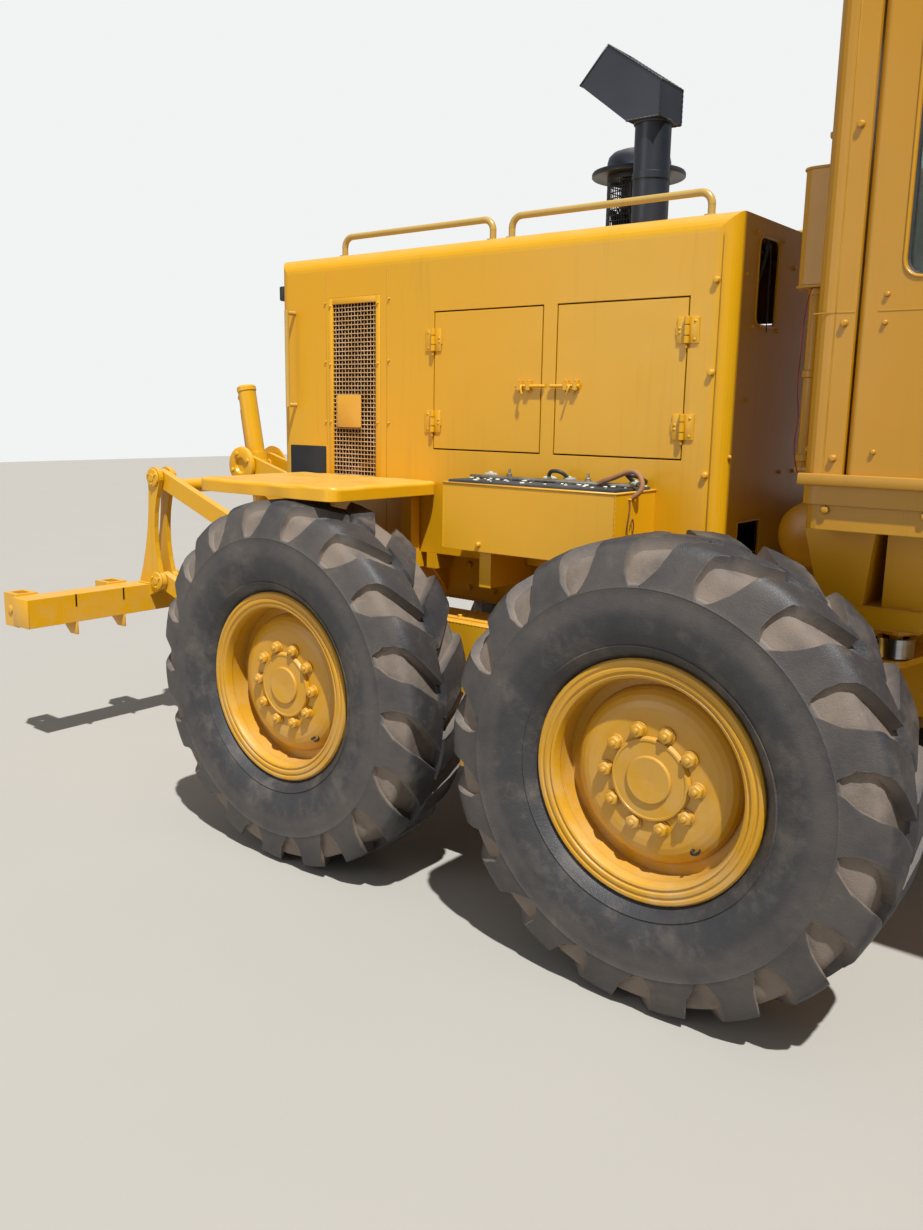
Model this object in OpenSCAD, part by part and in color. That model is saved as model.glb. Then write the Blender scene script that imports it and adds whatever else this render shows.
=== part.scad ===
// Articulated motor grader, in millimetres.
// +X is forward, +Y is the machine's left, +Z is up, and the tyres stand on z = 0.
// Places along X are counted from the middle of the tandem, then shifted by mid_x.

/* [Chassis] */
// Front axle to the middle of the tandem
wheelbase = 5920; // [5850:10:6000]
// Distance between the two tandem wheel centres
tandem_pitch = 1510; // [1480:5:1540]
// Distance between the middles of the left and right tyres
track = 1996; // [1980:2:2030]
// Distance from the tandem's middle forward to the articulation pivot
pivot_x = 850; // [845:1:860]
// Radius of the articulation pin
pivot_pin_r = 45; // [35:1:55]
// Radius of the hitch plates around the articulation pin
hitch_r = 130; // [120:1:140]
// Half distance between the inner faces of the rear frame rails
rail_in = 330; // [315:1:340]
// Width of a rear frame rail
rail_w = 100; // [85:1:105]
// Height of a rear frame rail
rail_h = 185; // [160:1:200]

/* [Tyres and wheels] */
// Outer radius of a tyre, over the lugs
tyre_r = 685; // [675:1:690]
// Width of a tyre across its sidewalls
tyre_w = 375; // [350:1:385]
// Number of tread lugs on each side of a tyre
lug_count = 18; // [16:1:20]
// Radius of the bead seat
bead_r = 305; // [302:1:308]
// Radius of the rim flange
flange_r = 350; // [345:1:354]
// Half distance between the rim flanges
rim_half = 127; // [124:1:130]
// Radius of the hub face that carries the studs
hub_face_r = 184; // [178:1:190]
// Number of wheel studs
stud_count = 10; // [8:1:12]
// Radius of the stud circle
stud_ring_r = 142.9; // [138:0.1:150]
// Radius of a wheel spindle
spindle_r = 60; // [50:1:66]

/* [Hood] */
// Length of the engine hood
hood_len = 2050; // [2040:5:2060]
// Front face of the hood, ahead of the tandem's middle
hood_front = 650; // [645:1:655]
// Half width of the hood
hood_half = 530; // [525:1:535]
// Height of the hood's lower edge above the ground
hood_z0 = 1145; // [1140:1:1150]
// Height of the hood's top above the ground
hood_z1 = 2300; // [2285:5:2320]
// Thickness of the hood's sheet
hood_t = 8; // [5:1:10]
// Radius of the hood's rounded edges
hood_edge = 62; // [50:1:70]
// Lower edge of the engine doors
door_z0 = 1550; // [1540:1:1560]
// Height of the engine doors
door_h = 500; // [480:1:510]
// Length of a door leaf
leaf_len = 485; // [470:1:486]
// Radius of the exhaust pipe
exhaust_r = 63.5; // [55:0.5:68]
// Radius of the precleaner's brim
brim_r = 180; // [165:1:190]

/* [Cab] */
// Rear face of the cab, ahead of the tandem's middle
cab_rear = 985; // [980:1:995]
// Length of the cab
cab_len = 1440; // [1420:5:1450]
// Half width of the cab
cab_half = 760; // [752:1:764]
// Height of the cab roof above the ground
cab_top = 3350; // [3330:5:3380]
// Lower edge of the cab's skirt
skirt_z = 1385; // [1382:1:1395]
// Thickness of the cab's walls and doors
cab_wall = 45; // [42:1:48]
// Length of a cab door
cab_door_len = 770; // [740:5:775]

/* [Blade] */
// Length of the moldboard
blade_len = 3660; // [3500:10:3700]
// Height of the moldboard
blade_h = 610; // [590:5:620]
// Thickness of the moldboard plate
blade_t = 22; // [18:1:26]
// Height of the cutting edge above the ground
blade_z0 = 60; // [50:1:75]
// Outer radius of the circle ring
circle_r = 765; // [750:1:775]
// Radial width of the circle ring
ring_w = 85; // [75:1:95]
// Centre of the circle, ahead of the tandem's middle
circle_x = 3420; // [3410:1:3430]
// Drawbar ball, ahead of the tandem's middle
ball_x = 5560; // [5550:1:5570]
// Height of the drawbar ball
ball_z = 900; // [895:1:905]

/* [Front axle] */
// Half distance between the kingpins
kingpin_y = 700; // [695:1:705]
// Half distance between the lean pivots
lean_y = 600; // [595:1:604]
// Height of the lean pivots
lean_z = 620; // [616:1:626]
// Height of the lean bar above the lean pivots
lean_arm = 360; // [350:1:370]
// Length of the steering arms
steer_arm = 250; // [235:1:255]
// Radius of a kingpin
kingpin_r = 32; // [26:1:36]

/* [Ripper] */
// Ripper pivots on the frame, behind the tandem's middle
ripper_root_x = -1750; // [-1760:1:-1740]
// Length of the ripper links, along X
link_dx = 780; // [770:1:790]
// Rise of the ripper links to the rear, as stored
link_dz = 280; // [270:1:290]
// Height of the lower ripper pivots on the frame
ripper_z = 510; // [500:1:520]
// Height between the lower and the upper ripper pivots
ripper_rise = 540; // [530:1:550]
// Half length of the ripper beam
beam_half = 1080; // [1000:5:1120]
// Side of the square ripper beam
beam_s = 140; // [130:1:150]

/* [Hidden] */
$fn = 64;

// Clearances: a running fit, a seat, and the room between moving pieces
run_fit = 0.08;
seat_gap = 0.3;
move_gap = 5;

// Colours
yellow = "#E0A51E";
shade_yellow = "#C98F18";
rubber = "#25272A";
black = "#1C1D1F";
steel = "#8E9196";
glass = "#8FA5A8";

// Rear body
track_half = track / 2;
tandem_half = tandem_pitch / 2;
tyre_in = track_half - tyre_w / 2;
rail_out = rail_in + rail_w;
rail_z0 = hood_z0 - rail_h;
hood_rear = hood_front - hood_len;
rail_rear = hood_rear - 100;
rail_front = hood_front - 10;
case_r = 265;
case_out = tyre_in - 35;
case_in = case_out - 215;
axle_r = 170;
hub_gap_y = case_out + move_gap;
spindle_end = track_half + 50;
hitch_lo = 740;
hitch_hi = 1105;
hitch_t = 45;
tongue_r = 110;
tongue_z0 = hitch_lo + hitch_t + move_gap;
tongue_z1 = hitch_hi - hitch_t - move_gap;

// Doors in the hood's sides: the two leaves meet at a strip
door_gap = 5;
rear_leaf_x = -530;
front_leaf_x = 20;
leaf_t = 6;
hinge_r = 9;
hinge_y = hood_half + hinge_r;
hinge_x_rear = rear_leaf_x - door_gap / 2;
hinge_x_front = front_leaf_x + leaf_len + door_gap / 2;
hinge_h = 80;
hinge_zs = [door_z0 + 60, door_z0 + door_h - 60 - hinge_h];
grille_x0 = -1100;
grille_x1 = -810;
grille_z0 = 1370;
grille_z1 = 2130;
rear_grille_half = 400;
rear_grille_z0 = 1290;
rear_grille_z1 = 2140;
grille_frame = 25;
exhaust_at = [140, -150];
precleaner_at = [-80, 150];

// Ripper
ripper_y = 350;
ripper_link_w = 40;
ripper_ear_w = 25;
ripper_pin_r = 25;
ripper_back_x = ripper_root_x - link_dx;
ripper_back_z = ripper_z + link_dz;
beam_front = ripper_back_x - 70;
beam_top = ripper_back_z - 25;
pocket_d = 120;
mast_x = -2180;
mast_z = 1400;
ripper_eye = [-2020, 0, 600];
ripper_trunnion = [mast_x, 0, mast_z];
trunnion_r = 30;
rear_x = beam_front - beam_s - pocket_d;

// The whole machine, for the shift of the origin
mid_x = (wheelbase + tyre_r + rear_x) / 2;

// Cab
cab_front = cab_rear + cab_len;
floor_z0 = skirt_z + 95;
floor_z1 = floor_z0 + 40;
roof_z0 = cab_top - 75;
cab_door_x0 = cab_rear + 120;
cab_door_x1 = cab_door_x0 + cab_door_len;
cab_door_z0 = floor_z1 + move_gap;
cab_door_z1 = roof_z0 - 95;
cab_hinge = [cab_door_x0 + cab_wall / 2, cab_half - cab_wall / 2];
pintle_r = 10;
pintle_h = 14;
window_edge = 110;
sill_z = 2045;

// Front body
frame_half = 150;
frame_rear_half = 200;
frame_z0 = 760;
arch_z0 = 1560;
arch_z1 = 1900;
nose_x0 = wheelbase - 260;
nose_x1 = wheelbase + 80;
nose_z0 = 700;
nose_z1 = 1180;
lean_plane_x = wheelbase + 140;

// Articulation cylinders, the left one; the right one mirrors it
art_root = [250, 605, 1030];
art_eye = [1200, 460, 1030];
art_pin_r = 20;
art_drift = 18.5;

// Blade lift cylinders, the left one
lift_y = 520;
lift_foot = [circle_x - 170, lift_y, 1080];
lift_root = [circle_x + 100, lift_y, 2000];
lift_drift = 7.5;
lift_pin_r = 22;

// Lean cylinder
lean_root = [lean_plane_x, -430, 760];
lean_eye = [lean_plane_x, 600, 800];
lean_drift = 13.5;

// Circle and blade
ring_z0 = 895;
ring_z1 = 995;
drawbar_z0 = ring_z1 + move_gap;
drawbar_t = 90;
flange_in = circle_r - ring_w - 50;
flange_t = 30;
drive_x = circle_x + 500;
arm_y = 620;
arm_w = 50;
blade_x = circle_x - 90;
blade_r = 413;
blade_mid_z = blade_z0 + blade_h / 2;
blade_centre_x = blade_x + blade_t + blade_r;
slide_z = [215, 500];
slide_h = 46;
slide_y = [-1480, 1330];
shift_z = 360;
shift_x = blade_x - 145;
shift_rod_r = 24;
shift_lug_y = 1190;

// Outlines and small shapes
function arc(c, r, a0, a1, n = 8) = [for (i = [0 : n]) let (a = a0 + (a1 - a0) * i / n) c + r * [cos(a), sin(a)]];
function round_rect(lo, hi, r, n = 6) = concat(
    arc(hi - [r, r], r, 0, 90, n), arc([lo[0] + r, hi[1] - r], r, 90, 180, n),
    arc(lo + [r, r], r, 180, 270, n), arc([hi[0] - r, lo[1] + r], r, 270, 360, n));
module placed() translate([-mid_x, 0, 0]) children();
module both_sides() { children(); mirror([0, 1, 0]) children(); }
module box(lo, hi) translate(lo) cube(hi - lo);
module bar_x(x0, x1, y, z, r) translate([x0, y, z]) rotate([0, 90, 0]) cylinder(h = x1 - x0, r = r);
module bar_y(y0, y1, x, z, r) translate([x, y1, z]) rotate([90, 0, 0]) cylinder(h = y1 - y0, r = r);
module bar_z(z0, z1, x, y, r) translate([x, y, z0]) cylinder(h = z1 - z0, r = r);
// An outline drawn as (x, z), (y, z) or (x, y), between two planes
module side_plate(y0, y1) translate([0, y1, 0]) rotate([90, 0, 0]) linear_extrude(y1 - y0) children();
module cross_plate(x0, x1) translate([x0, 0, 0]) rotate([90, 0, 90]) linear_extrude(x1 - x0) children();
module flat_plate(z0, z1) translate([0, 0, z0]) linear_extrude(z1 - z0) children();
module aim(p, q) {
    v = q - p;
    translate(p) rotate([0, acos(v[2] / norm(v)), atan2(v[1], v[0])]) children();
}
module strut(p, q, r) aim(p, q) cylinder(h = norm(q - p), r = r);

// Tyres and wheels, drawn with the axle along +Z, outboard up
module at_wheel(x, side) translate([x, side * track_half, tyre_r]) rotate([-90 * side, 0, 0]) children();
function side_curve(a) = [478 + 147 * sin(a), tyre_w / 2 - 122 + 122 * cos(a)];
lug_depth = 36;
casing_r = tyre_r - lug_depth;
function tyre_half() = concat([[bead_r + seat_gap, rim_half - 0.5], [flange_r + 1, rim_half - 0.5]],
    [for (a = [-52 : 11 : 14]) side_curve(a)], [[casing_r - 52, tyre_w / 2 - 23], [casing_r, tyre_w / 2 - 62]]);
// A lug runs from the middle of the tread over the shoulder, on a slant; its outline is (radius, place across)
lug_mid = 90;
lug_slant = 32;
lug_w = 92;
lug_top = sqrt(pow(tyre_r, 2) - pow(lug_w * 0.95, 2));
module lug() translate([0, 0, lug_mid]) rotate([-lug_slant, 0, 0]) translate([0, lug_w / 2, -lug_mid]) rotate([90, 0, 0])
    linear_extrude(lug_w) polygon([[casing_r - 30, -6], [lug_top, -6], [lug_top, tyre_w / 2 - 36], [lug_top - 14, tyre_w / 2 - 22],
        [casing_r - 62, tyre_w / 2 + 4], [casing_r - 62, tyre_w / 2 - 40], [casing_r - 30, tyre_w / 2 - 70]]);
module tyre() {
    half = tyre_half();
    n = len(half);
    color(rubber) {
        rotate_extrude() polygon(concat(half, [for (i = [n - 1 : -1 : 0]) [half[i][0], -half[i][1]]]));
        for (i = [0 : lug_count - 1]) {
            rotate([0, 0, (i + 0.25) * 360 / lug_count]) lug();
            rotate([0, 0, (i - 0.25) * 360 / lug_count]) mirror([0, 0, 1]) lug();
        }
    }
}
module rim() rotate_extrude() polygon(concat(
    [[bead_r - 12, -rim_half - 6], [flange_r - 5, -rim_half - 15], [flange_r, -rim_half - 11], [flange_r, -rim_half - 3],
    [bead_r, -rim_half], [bead_r, rim_half]],
    [[flange_r, rim_half + 3], [flange_r, rim_half + 11], [flange_r - 5, rim_half + 15], [flange_r - 20, rim_half + 14],
    [bead_r + 2, rim_half + 10], [bead_r - 12, rim_half - 4]]));
dome_r = 261;
dome_w = 44;
face_w = 95;
disc_t = 18;
module wheel(hub_in) {
    curve = [for (a = [0 : 15 : 90])
        [hub_face_r + (dome_r - hub_face_r) * cos(a), dome_w + (face_w - dome_w) * sin(a)]];
    color(yellow) difference() {
        union() {
            rim();
            rotate_extrude() polygon(concat([[bead_r - 6, dome_w - disc_t], [bead_r - 6, dome_w]], curve,
                [[0, face_w], [0, face_w - disc_t * 2], [hub_face_r - disc_t, face_w - disc_t * 2],
                [dome_r - disc_t, dome_w - disc_t]]));
            translate([0, 0, hub_in - track_half]) cylinder(h = track_half - hub_in + face_w - disc_t, r = 120);
            translate([0, 0, face_w]) cylinder(h = 12, r = 117);
            translate([0, 0, face_w]) cylinder(h = 18, r = 68);
            for (i = [0 : stud_count - 1]) rotate([0, 0, i * 360 / stud_count])
                translate([stud_ring_r, 0, face_w - 1]) cylinder(h = 24, r = 15, $fn = 6);
        }
        translate([0, 0, hub_in - track_half - 1])
            cylinder(h = spindle_end - hub_in + 1 + 10, r = spindle_r + run_fit);
    }
}

// Rear frame: rails, hitch, ripper ears and the mast of the ripper cylinder
module hitch_plate(z0) flat_plate(z0, z0 + hitch_t)
    polygon(concat([[rail_front - 40, -220], [pivot_x - 60, -hitch_r]], arc([pivot_x, 0], hitch_r, -80, 80, 12),
        [[pivot_x - 60, hitch_r], [rail_front - 40, 220]]));
module ripper_ears(x, z, r, plate_x) both_sides() {
    for (y = [ripper_y - ripper_link_w / 2 - 5 - ripper_ear_w, ripper_y + ripper_link_w / 2 + 5])
        side_plate(y, y + ripper_ear_w) polygon(concat(
            arc([x, z], r, 110, 250, 8), [[plate_x, z - r - 30], [plate_x, z + r + 30]]));
    bar_y(ripper_y - 50, ripper_y + 50, x, z, ripper_pin_r);
}
module rear_frame() placed() color(yellow) {
    difference() {
        union() {
            both_sides() box([rail_rear, rail_in, rail_z0], [rail_front, rail_out, hood_z0]);
            for (x = [rail_rear, -800, rail_front - 50])
                box([x, -rail_in - 1, hood_z0 - 90], [x + 50, rail_in + 1, hood_z0]);
            both_sides() for (x = [hood_rear + 15, -560, 300, rail_front - 50])
                box([x, rail_out - 1, hood_z0 - 60], [x + 50, hood_half, hood_z0]);
            both_sides() box([-150, rail_in, tyre_r], [150, rail_out, rail_z0 + 1]);
            box([rail_front - 40, -rail_out, hitch_lo], [rail_front, rail_out, rail_z0 + 1]);
            hitch_plate(hitch_lo);
            hitch_plate(hitch_hi - hitch_t);
            box([rail_rear - 40, -rail_out, ripper_z - 90], [rail_rear, rail_out, hood_z0]);
        }
        bar_y(-rail_out - 1, rail_out + 1, 0, tyre_r, axle_r + seat_gap);
        box([-160, -rail_out - 1, tyre_r - 1], [160, rail_out + 1, tyre_r + 40]);
    }
    bar_z(hitch_lo, hitch_hi, pivot_x, 0, pivot_pin_r);
    ripper_ears(ripper_root_x, ripper_z, 48, rail_rear - 39);
    ripper_ears(ripper_root_x, ripper_z + ripper_rise, 48, rail_rear - 39);
    mast();
    both_sides() articulation_root();
    battery_bracket();
    both_sides() fender_bracket();
}
module mast() both_sides() difference() {
    side_plate(68, 93) polygon(concat([[rail_rear - 39, 1000], [rail_rear - 39, hood_z0]],
        [[-1700, 1330]], arc([mast_x, mast_z], 62, 70, 230, 8)));
    bar_y(60, 100, mast_x, mast_z, trunnion_r + run_fit);
}
module articulation_root() {
    for (z = [art_root[2] - 68, art_root[2] + 48])
        flat_plate(z, z + 20) polygon(concat([[art_root[0] + 70, rail_out - 1]],
            arc([art_root[0], art_root[1]], 36, 0, 180, 8), [[art_root[0] - 70, rail_out - 1]]));
    bar_z(art_root[2] - 68, art_root[2] + 68, art_root[0], art_root[1], art_pin_r);
}

// Hood: a pressed shell with rounded edges, open below
module hood_block(grow) intersection() {
    cross_plate(hood_rear - grow, hood_front + grow) polygon(round_rect(
        [-hood_half - grow, hood_z0 - 400], [hood_half + grow, hood_z1 + grow], hood_edge + grow, 8));
    flat_plate(hood_z0 - (grow < 0 ? 1 : 0), hood_z1 + 1) polygon(round_rect(
        [hood_rear - grow, -hood_half - grow], [hood_front + grow, hood_half + grow], hood_edge + grow, 8));
}
module hood() placed() color(yellow) {
    difference() {
        hood_block(0);
        hood_block(-hood_t);
        both_sides() {
            box([rear_leaf_x - door_gap, hood_half - 40, door_z0 - door_gap],
                [rear_leaf_x + leaf_len + door_gap, hood_half + 1, door_z0 + door_h + door_gap]);
            box([front_leaf_x - door_gap, hood_half - 40, door_z0 - door_gap],
                [front_leaf_x + leaf_len + door_gap, hood_half + 1, door_z0 + door_h + door_gap]);
            box([grille_x0, hood_half - 40, grille_z0], [grille_x1, hood_half + 1, grille_z1]);
        }
        box([hood_rear - 1, -rear_grille_half, rear_grille_z0], [hood_rear + 40, rear_grille_half, rear_grille_z1]);
        side_slot();
        bar_z(hood_z1 - 40, hood_z1 + 1, exhaust_at[0], exhaust_at[1], exhaust_r + 12);
        bar_z(hood_z1 - 40, hood_z1 + 1, precleaner_at[0], precleaner_at[1], 72);
    }
    both_sides() for (x = [hinge_x_rear, hinge_x_front]) hood_hinges(x, x < 0 ? -1 : 1);
}
// Openings in the hood's front face
module side_slot() {
    translate([hood_front - 40, 0, 0]) cross_plate(0, 41) polygon(round_rect([-354, 1975], [-190, 2245], 30, 4));
    box([hood_front - 40, -384, 1214], [hood_front + 1, -198, 1345]);
}
// The fixed half of a butt hinge: its leaf, upper and lower knuckles and pin
module hood_hinges(x, dir) for (z = hinge_zs) {
    box([x + min(dir * 12, dir * 40), hood_half - 1, z], [x + max(dir * 12, dir * 40), hood_half + 4, z + hinge_h]);
    for (dz = [0, hinge_h - 22]) {
        bar_z(z + dz, z + dz + 22, x, hinge_y, hinge_r);
        box([x + min(0, dir * 13), hood_half - 1, z + dz], [x + max(0, dir * 13), hinge_y - 5, z + dz + 22]);
    }
    bar_z(z, z + hinge_h, x, hinge_y, 5);
}
// A leaf that carries the middle knuckles of its hinges and a slide bolt
module leaf(x0, hinge_x, dir) placed() color(yellow) {
    box([x0, hood_half - leaf_t, door_z0], [x0 + leaf_len, hood_half, door_z0 + door_h]);
    for (z = hinge_zs) difference() {
        union() {
            box([hinge_x + min(dir * 2.5, dir * 40), hood_half - 1, z + 25],
                [hinge_x + max(dir * 2.5, dir * 40), hood_half + 4, z + hinge_h - 25]);
            bar_z(z + 25, z + hinge_h - 25, hinge_x, hinge_y, hinge_r);
            box([hinge_x + min(0, dir * 10), hood_half + 1, z + 25],
                [hinge_x + max(0, dir * 10), hinge_y, z + hinge_h - 25]);
        }
        bar_z(z, z + hinge_h, hinge_x, hinge_y, 5 + run_fit);
    }
    bolt_x = dir > 0 ? x0 + leaf_len : x0;
    bolt_z = door_z0 + 0.46 * door_h;
    for (s = [-85, -45]) box([bolt_x + dir * s - 8, hood_half - 1, bolt_z - 14], [bolt_x + dir * s + 8, hood_half + 16, bolt_z + 14]);
    bar_x(bolt_x + min(-dir * 100, dir * 18), bolt_x + max(-dir * 100, dir * 18), hood_half + 9, bolt_z, 6);
}

// Side screens and the rear screen: a frame with two layers of wires
module screen(w, h, pitch) {
    difference() {
        cube([w, 12, h]);
        translate([grille_frame, -1, grille_frame]) cube([w - 2 * grille_frame, 14, h - 2 * grille_frame]);
    }
    nx = floor((w - 2 * grille_frame) / pitch);
    nz = floor((h - 2 * grille_frame) / pitch);
    for (i = [1 : nx - 1]) translate([grille_frame + i * (w - 2 * grille_frame) / nx - 1.5, 2, grille_frame - 1])
        cube([3, 3, h - 2 * grille_frame + 2]);
    for (i = [1 : nz - 1]) translate([grille_frame - 1, 5.5, grille_frame + i * (h - 2 * grille_frame) / nz - 1.5])
        cube([w - 2 * grille_frame + 2, 3, 3]);
}
module grilles() placed() color(shade_yellow) {
    both_sides() translate([grille_x0 + seat_gap, hood_half - 12, grille_z0 + seat_gap])
        screen(grille_x1 - grille_x0 - 2 * seat_gap, grille_z1 - grille_z0 - 2 * seat_gap, 40);
    translate([hood_rear + 12, -rear_grille_half + seat_gap, rear_grille_z0 + seat_gap]) rotate([0, 0, 90])
        screen(2 * rear_grille_half - 2 * seat_gap, rear_grille_z1 - rear_grille_z0 - 2 * seat_gap, 60);
}

// Hand rails: straight tubes with round bends
rail_r = 12;
rail_top = 76;
rail_bend = 40;
rail_y = 440;
module hood_rail(x0, x1) {
    for (x = [x0, x1]) {
        bar_z(hood_z1, hood_z1 + rail_top - rail_bend + 1, x, rail_y, rail_r);
        bar_z(hood_z1, hood_z1 + 6, x, rail_y, 22);
    }
    bar_x(x0 + rail_bend - 1, x1 - rail_bend + 1, rail_y, hood_z1 + rail_top, rail_r);
    for (e = [[x0 + rail_bend, 90], [x1 - rail_bend, 0]])
        translate([e[0], rail_y, hood_z1 + rail_top - rail_bend]) rotate([90, 0, 0])
            rotate_extrude(angle = 90, start = e[1]) translate([rail_bend, 0]) circle(r = rail_r + 0.3);
}
module grab_rail(x, z0, z1) {
    out = 45;
    for (z = [z0, z1]) bar_y(hood_half, hood_half + out, x, z, 9);
    bar_z(z0 - 9, z1 + 9, x, hood_half + out, 9);
}
module hood_rails() placed() color(yellow) both_sides() {
    hood_rail(-1090, -335);
    hood_rail(-250, 520);
    grab_rail(-1300, 1705, 2080);
}

// Exhaust pipe with a welded box that turns the gas to the rear
module exhaust_stack() placed() color(black) {
    x = exhaust_at[0];
    y = exhaust_at[1];
    half = 80;
    difference() {
        union() {
            bar_z(hood_z1 - 150, 2735, x, y, exhaust_r);
            bar_z(hood_z1, hood_z1 + 8, x, y, exhaust_r + 30);
            side_plate(y - half, y + half)
                polygon([[x - 65, 2690], [x + 65, 2690], [x + 65, 2805], [x - 148, 2950], [x - 258, 2836]]);
        }
        bar_z(hood_z1 - 151, 2760, x, y, exhaust_r - 5);
        side_plate(y - half + 5, y + half - 5)
            polygon([[x - 61, 2698], [x + 60, 2698], [x + 60, 2801], [x - 180, 2990], [x - 300, 2860]]);
    }
}
module precleaner() placed() color(black) {
    x = precleaner_at[0];
    y = precleaner_at[1];
    bar_z(hood_z1 - 120, hood_z1 + 1, x, y, 66);
    bar_z(hood_z1, 2600, x, y, 118);
    translate([x, y, 0]) rotate_extrude() polygon(concat([[0, 2585], [118, 2588], [brim_r, 2596], [brim_r, 2606], [122, 2616]],
        arc([82, 2640], 40, 0, 90, 6), [[0, 2684]]));
}

// Engine and radiator, closed inside, as plain blocks
module engine() placed() color(shade_yellow) {
    box([-700, -290, 1010], [430, 290, 1960]);
    both_sides() for (x = [-520, 250]) box([x, 289, hood_z0], [x + 110, rail_out - 20, hood_z0 + 45]);
    both_sides() box([-1080, 0, hood_z0], [-850, 470, 2190]);
}

// Battery box on the right, open on top, with two batteries
box_x0 = -265;
box_x1 = 425;
box_y1 = 790;
box_z0 = 1215;
box_z1 = 1445;
box_t = 6;
module battery_bracket() mirror([0, 1, 0]) for (x = [-130, 300]) {
    box([x, rail_out - 1, hood_z0 - 60], [x + 50, box_y1 - 40, hood_z0]);
    box([x, hood_half + 10, hood_z0 - 1], [x + 50, box_y1 - 40, box_z0]);
}
module battery_box() placed() color(yellow) mirror([0, 1, 0]) difference() {
    box([box_x0, hood_half, box_z0], [box_x1, box_y1, box_z1]);
    box([box_x0 + box_t, hood_half + box_t, box_z0 + box_t], [box_x1 - box_t, box_y1 - box_t, box_z1 + 1]);
}
module batteries() placed() color(black) mirror([0, 1, 0]) for (x0 = [box_x0 + 14, (box_x0 + box_x1) / 2 + 6]) {
    x1 = x0 + (box_x1 - box_x0) / 2 - 22;
    y0 = hood_half + 14;
    y1 = box_y1 - 14;
    box([x0, y0, box_z0 + box_t], [x1, y1, box_z1 + 12]);
    for (x = [x0 + 40, x1 - 40]) bar_z(box_z1 + 11, box_z1 + 30, x, y0 + 40, 11);
}

// Fender pans over the rear tyres, with their brackets
pan_x0 = -1240;
pan_x1 = -500;
pan_y1 = 1100;
pan_z1 = tyre_r * 2 + 60;
pan_lip = 40;
module fender_bracket() for (x = [-1180, -640]) {
    box([x, rail_out - 1, hood_z0 - 60], [x + 50, hood_half + 60, hood_z0]);
    box([x, hood_half + 10, hood_z0 - 1], [x + 50, hood_half + 60, pan_z1 - 6]);
}
module fender_plates() placed() color(yellow) both_sides() difference() {
    flat_plate(pan_z1 - pan_lip, pan_z1) polygon(round_rect([pan_x0, hood_half + seat_gap], [pan_x1, pan_y1], 40, 6));
    flat_plate(pan_z1 - pan_lip - 1, pan_z1 - 6)
        polygon(round_rect([pan_x0 + 6, hood_half + 6], [pan_x1 - 6, pan_y1 - 6], 34, 6));
}

// Tandem drive: axle housing, two chain cases and the spindles
module tandem_case() {
    side_plate(case_in, case_out) polygon(concat(
        arc([tandem_half, tyre_r], case_r, -90, 90, 12), arc([-tandem_half, tyre_r], case_r, 90, 270, 12)));
    for (s = [-1, 1]) bar_y(case_out - 60, spindle_end, s * tandem_half, tyre_r, spindle_r);
}
module tandem_drive() placed() color(yellow) {
    both_sides() tandem_case();
    bar_y(-case_in - 1, case_in + 1, 0, tyre_r, axle_r);
    bar_y(-150, 150, 0, tyre_r, 225);
}

// Main frame: hitch tongue, box beam, arch over the circle, nose
module frame_outline() polygon([
    [pivot_x + 170, frame_z0], [2200, frame_z0], [2560, 1150], [2690, 1480], [2770, arch_z0],
    [nose_x0 - 1010, arch_z0], [nose_x0 - 280, 1120], [nose_x0, 1060],
    [nose_x0, nose_z0], [nose_x1, nose_z0], [nose_x1, nose_z1], [nose_x0 + 140, nose_z1], [nose_x0 - 100, 1400],
    [nose_x0 - 880, arch_z1],
    [2800, arch_z1], [cab_front + 10, skirt_z - 20], [cab_front - 100, 1290], [pivot_x + 170, 1240]]);
module main_frame() placed() color(yellow) {
    side_plate(-frame_half, frame_half) frame_outline();
    both_sides() box([pivot_x + 170, frame_half - 1, frame_z0], [2040, frame_rear_half, 1240]);
    tongue();
    both_sides() {
        articulation_lug();
        cab_mounts();
        lift_arm();
    }
    ball_socket();
}
module tongue() difference() {
    union() {
        bar_z(tongue_z0, tongue_z1, pivot_x, 0, tongue_r);
        box([pivot_x, -tongue_r, tongue_z0], [pivot_x + 171, tongue_r, tongue_z1]);
    }
    bar_z(tongue_z0 - 1, tongue_z1 + 1, pivot_x, 0, pivot_pin_r + run_fit);
}
module articulation_lug() {
    for (z = [art_eye[2] - 58, art_eye[2] + 38])
        flat_plate(z, z + 20) polygon(concat([[art_eye[0] + 90, frame_rear_half - 1]],
            arc([art_eye[0], art_eye[1]], 40, 0, 180, 8), [[art_eye[0] - 90, frame_rear_half - 1]]));
    bar_z(art_eye[2] - 58, art_eye[2] + 58, art_eye[0], art_eye[1], art_pin_r);
}
// Outriggers that carry the cab: the rear ones are tapered, with a box and a ledge beside them
cab_bracket_y = 600;
module cab_mounts() {
    for (x = [cab_rear + 35, cab_front - 295]) box([x, 0, 1200], [x + 140, frame_rear_half, skirt_z]);
    box([cab_front - 295, frame_rear_half - 60, 1150], [cab_front - 155, 540, skirt_z]);
    box([cab_rear + 35, frame_rear_half - 60, 1160], [cab_rear + 152, 341, skirt_z]);
    side_plate(340, cab_bracket_y)
        polygon([[cab_rear - 35, skirt_z], [cab_rear + 172, skirt_z], [cab_rear + 152, 1160], [cab_rear + 26, 1160]]);
    box([cab_rear + 199, 300, 1160], [cab_rear + 316, cab_bracket_y - 20, skirt_z]);
    box([cab_rear + 59, frame_rear_half - 60, 1102], [cab_rear + 318, cab_bracket_y, 1161]);
}
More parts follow.
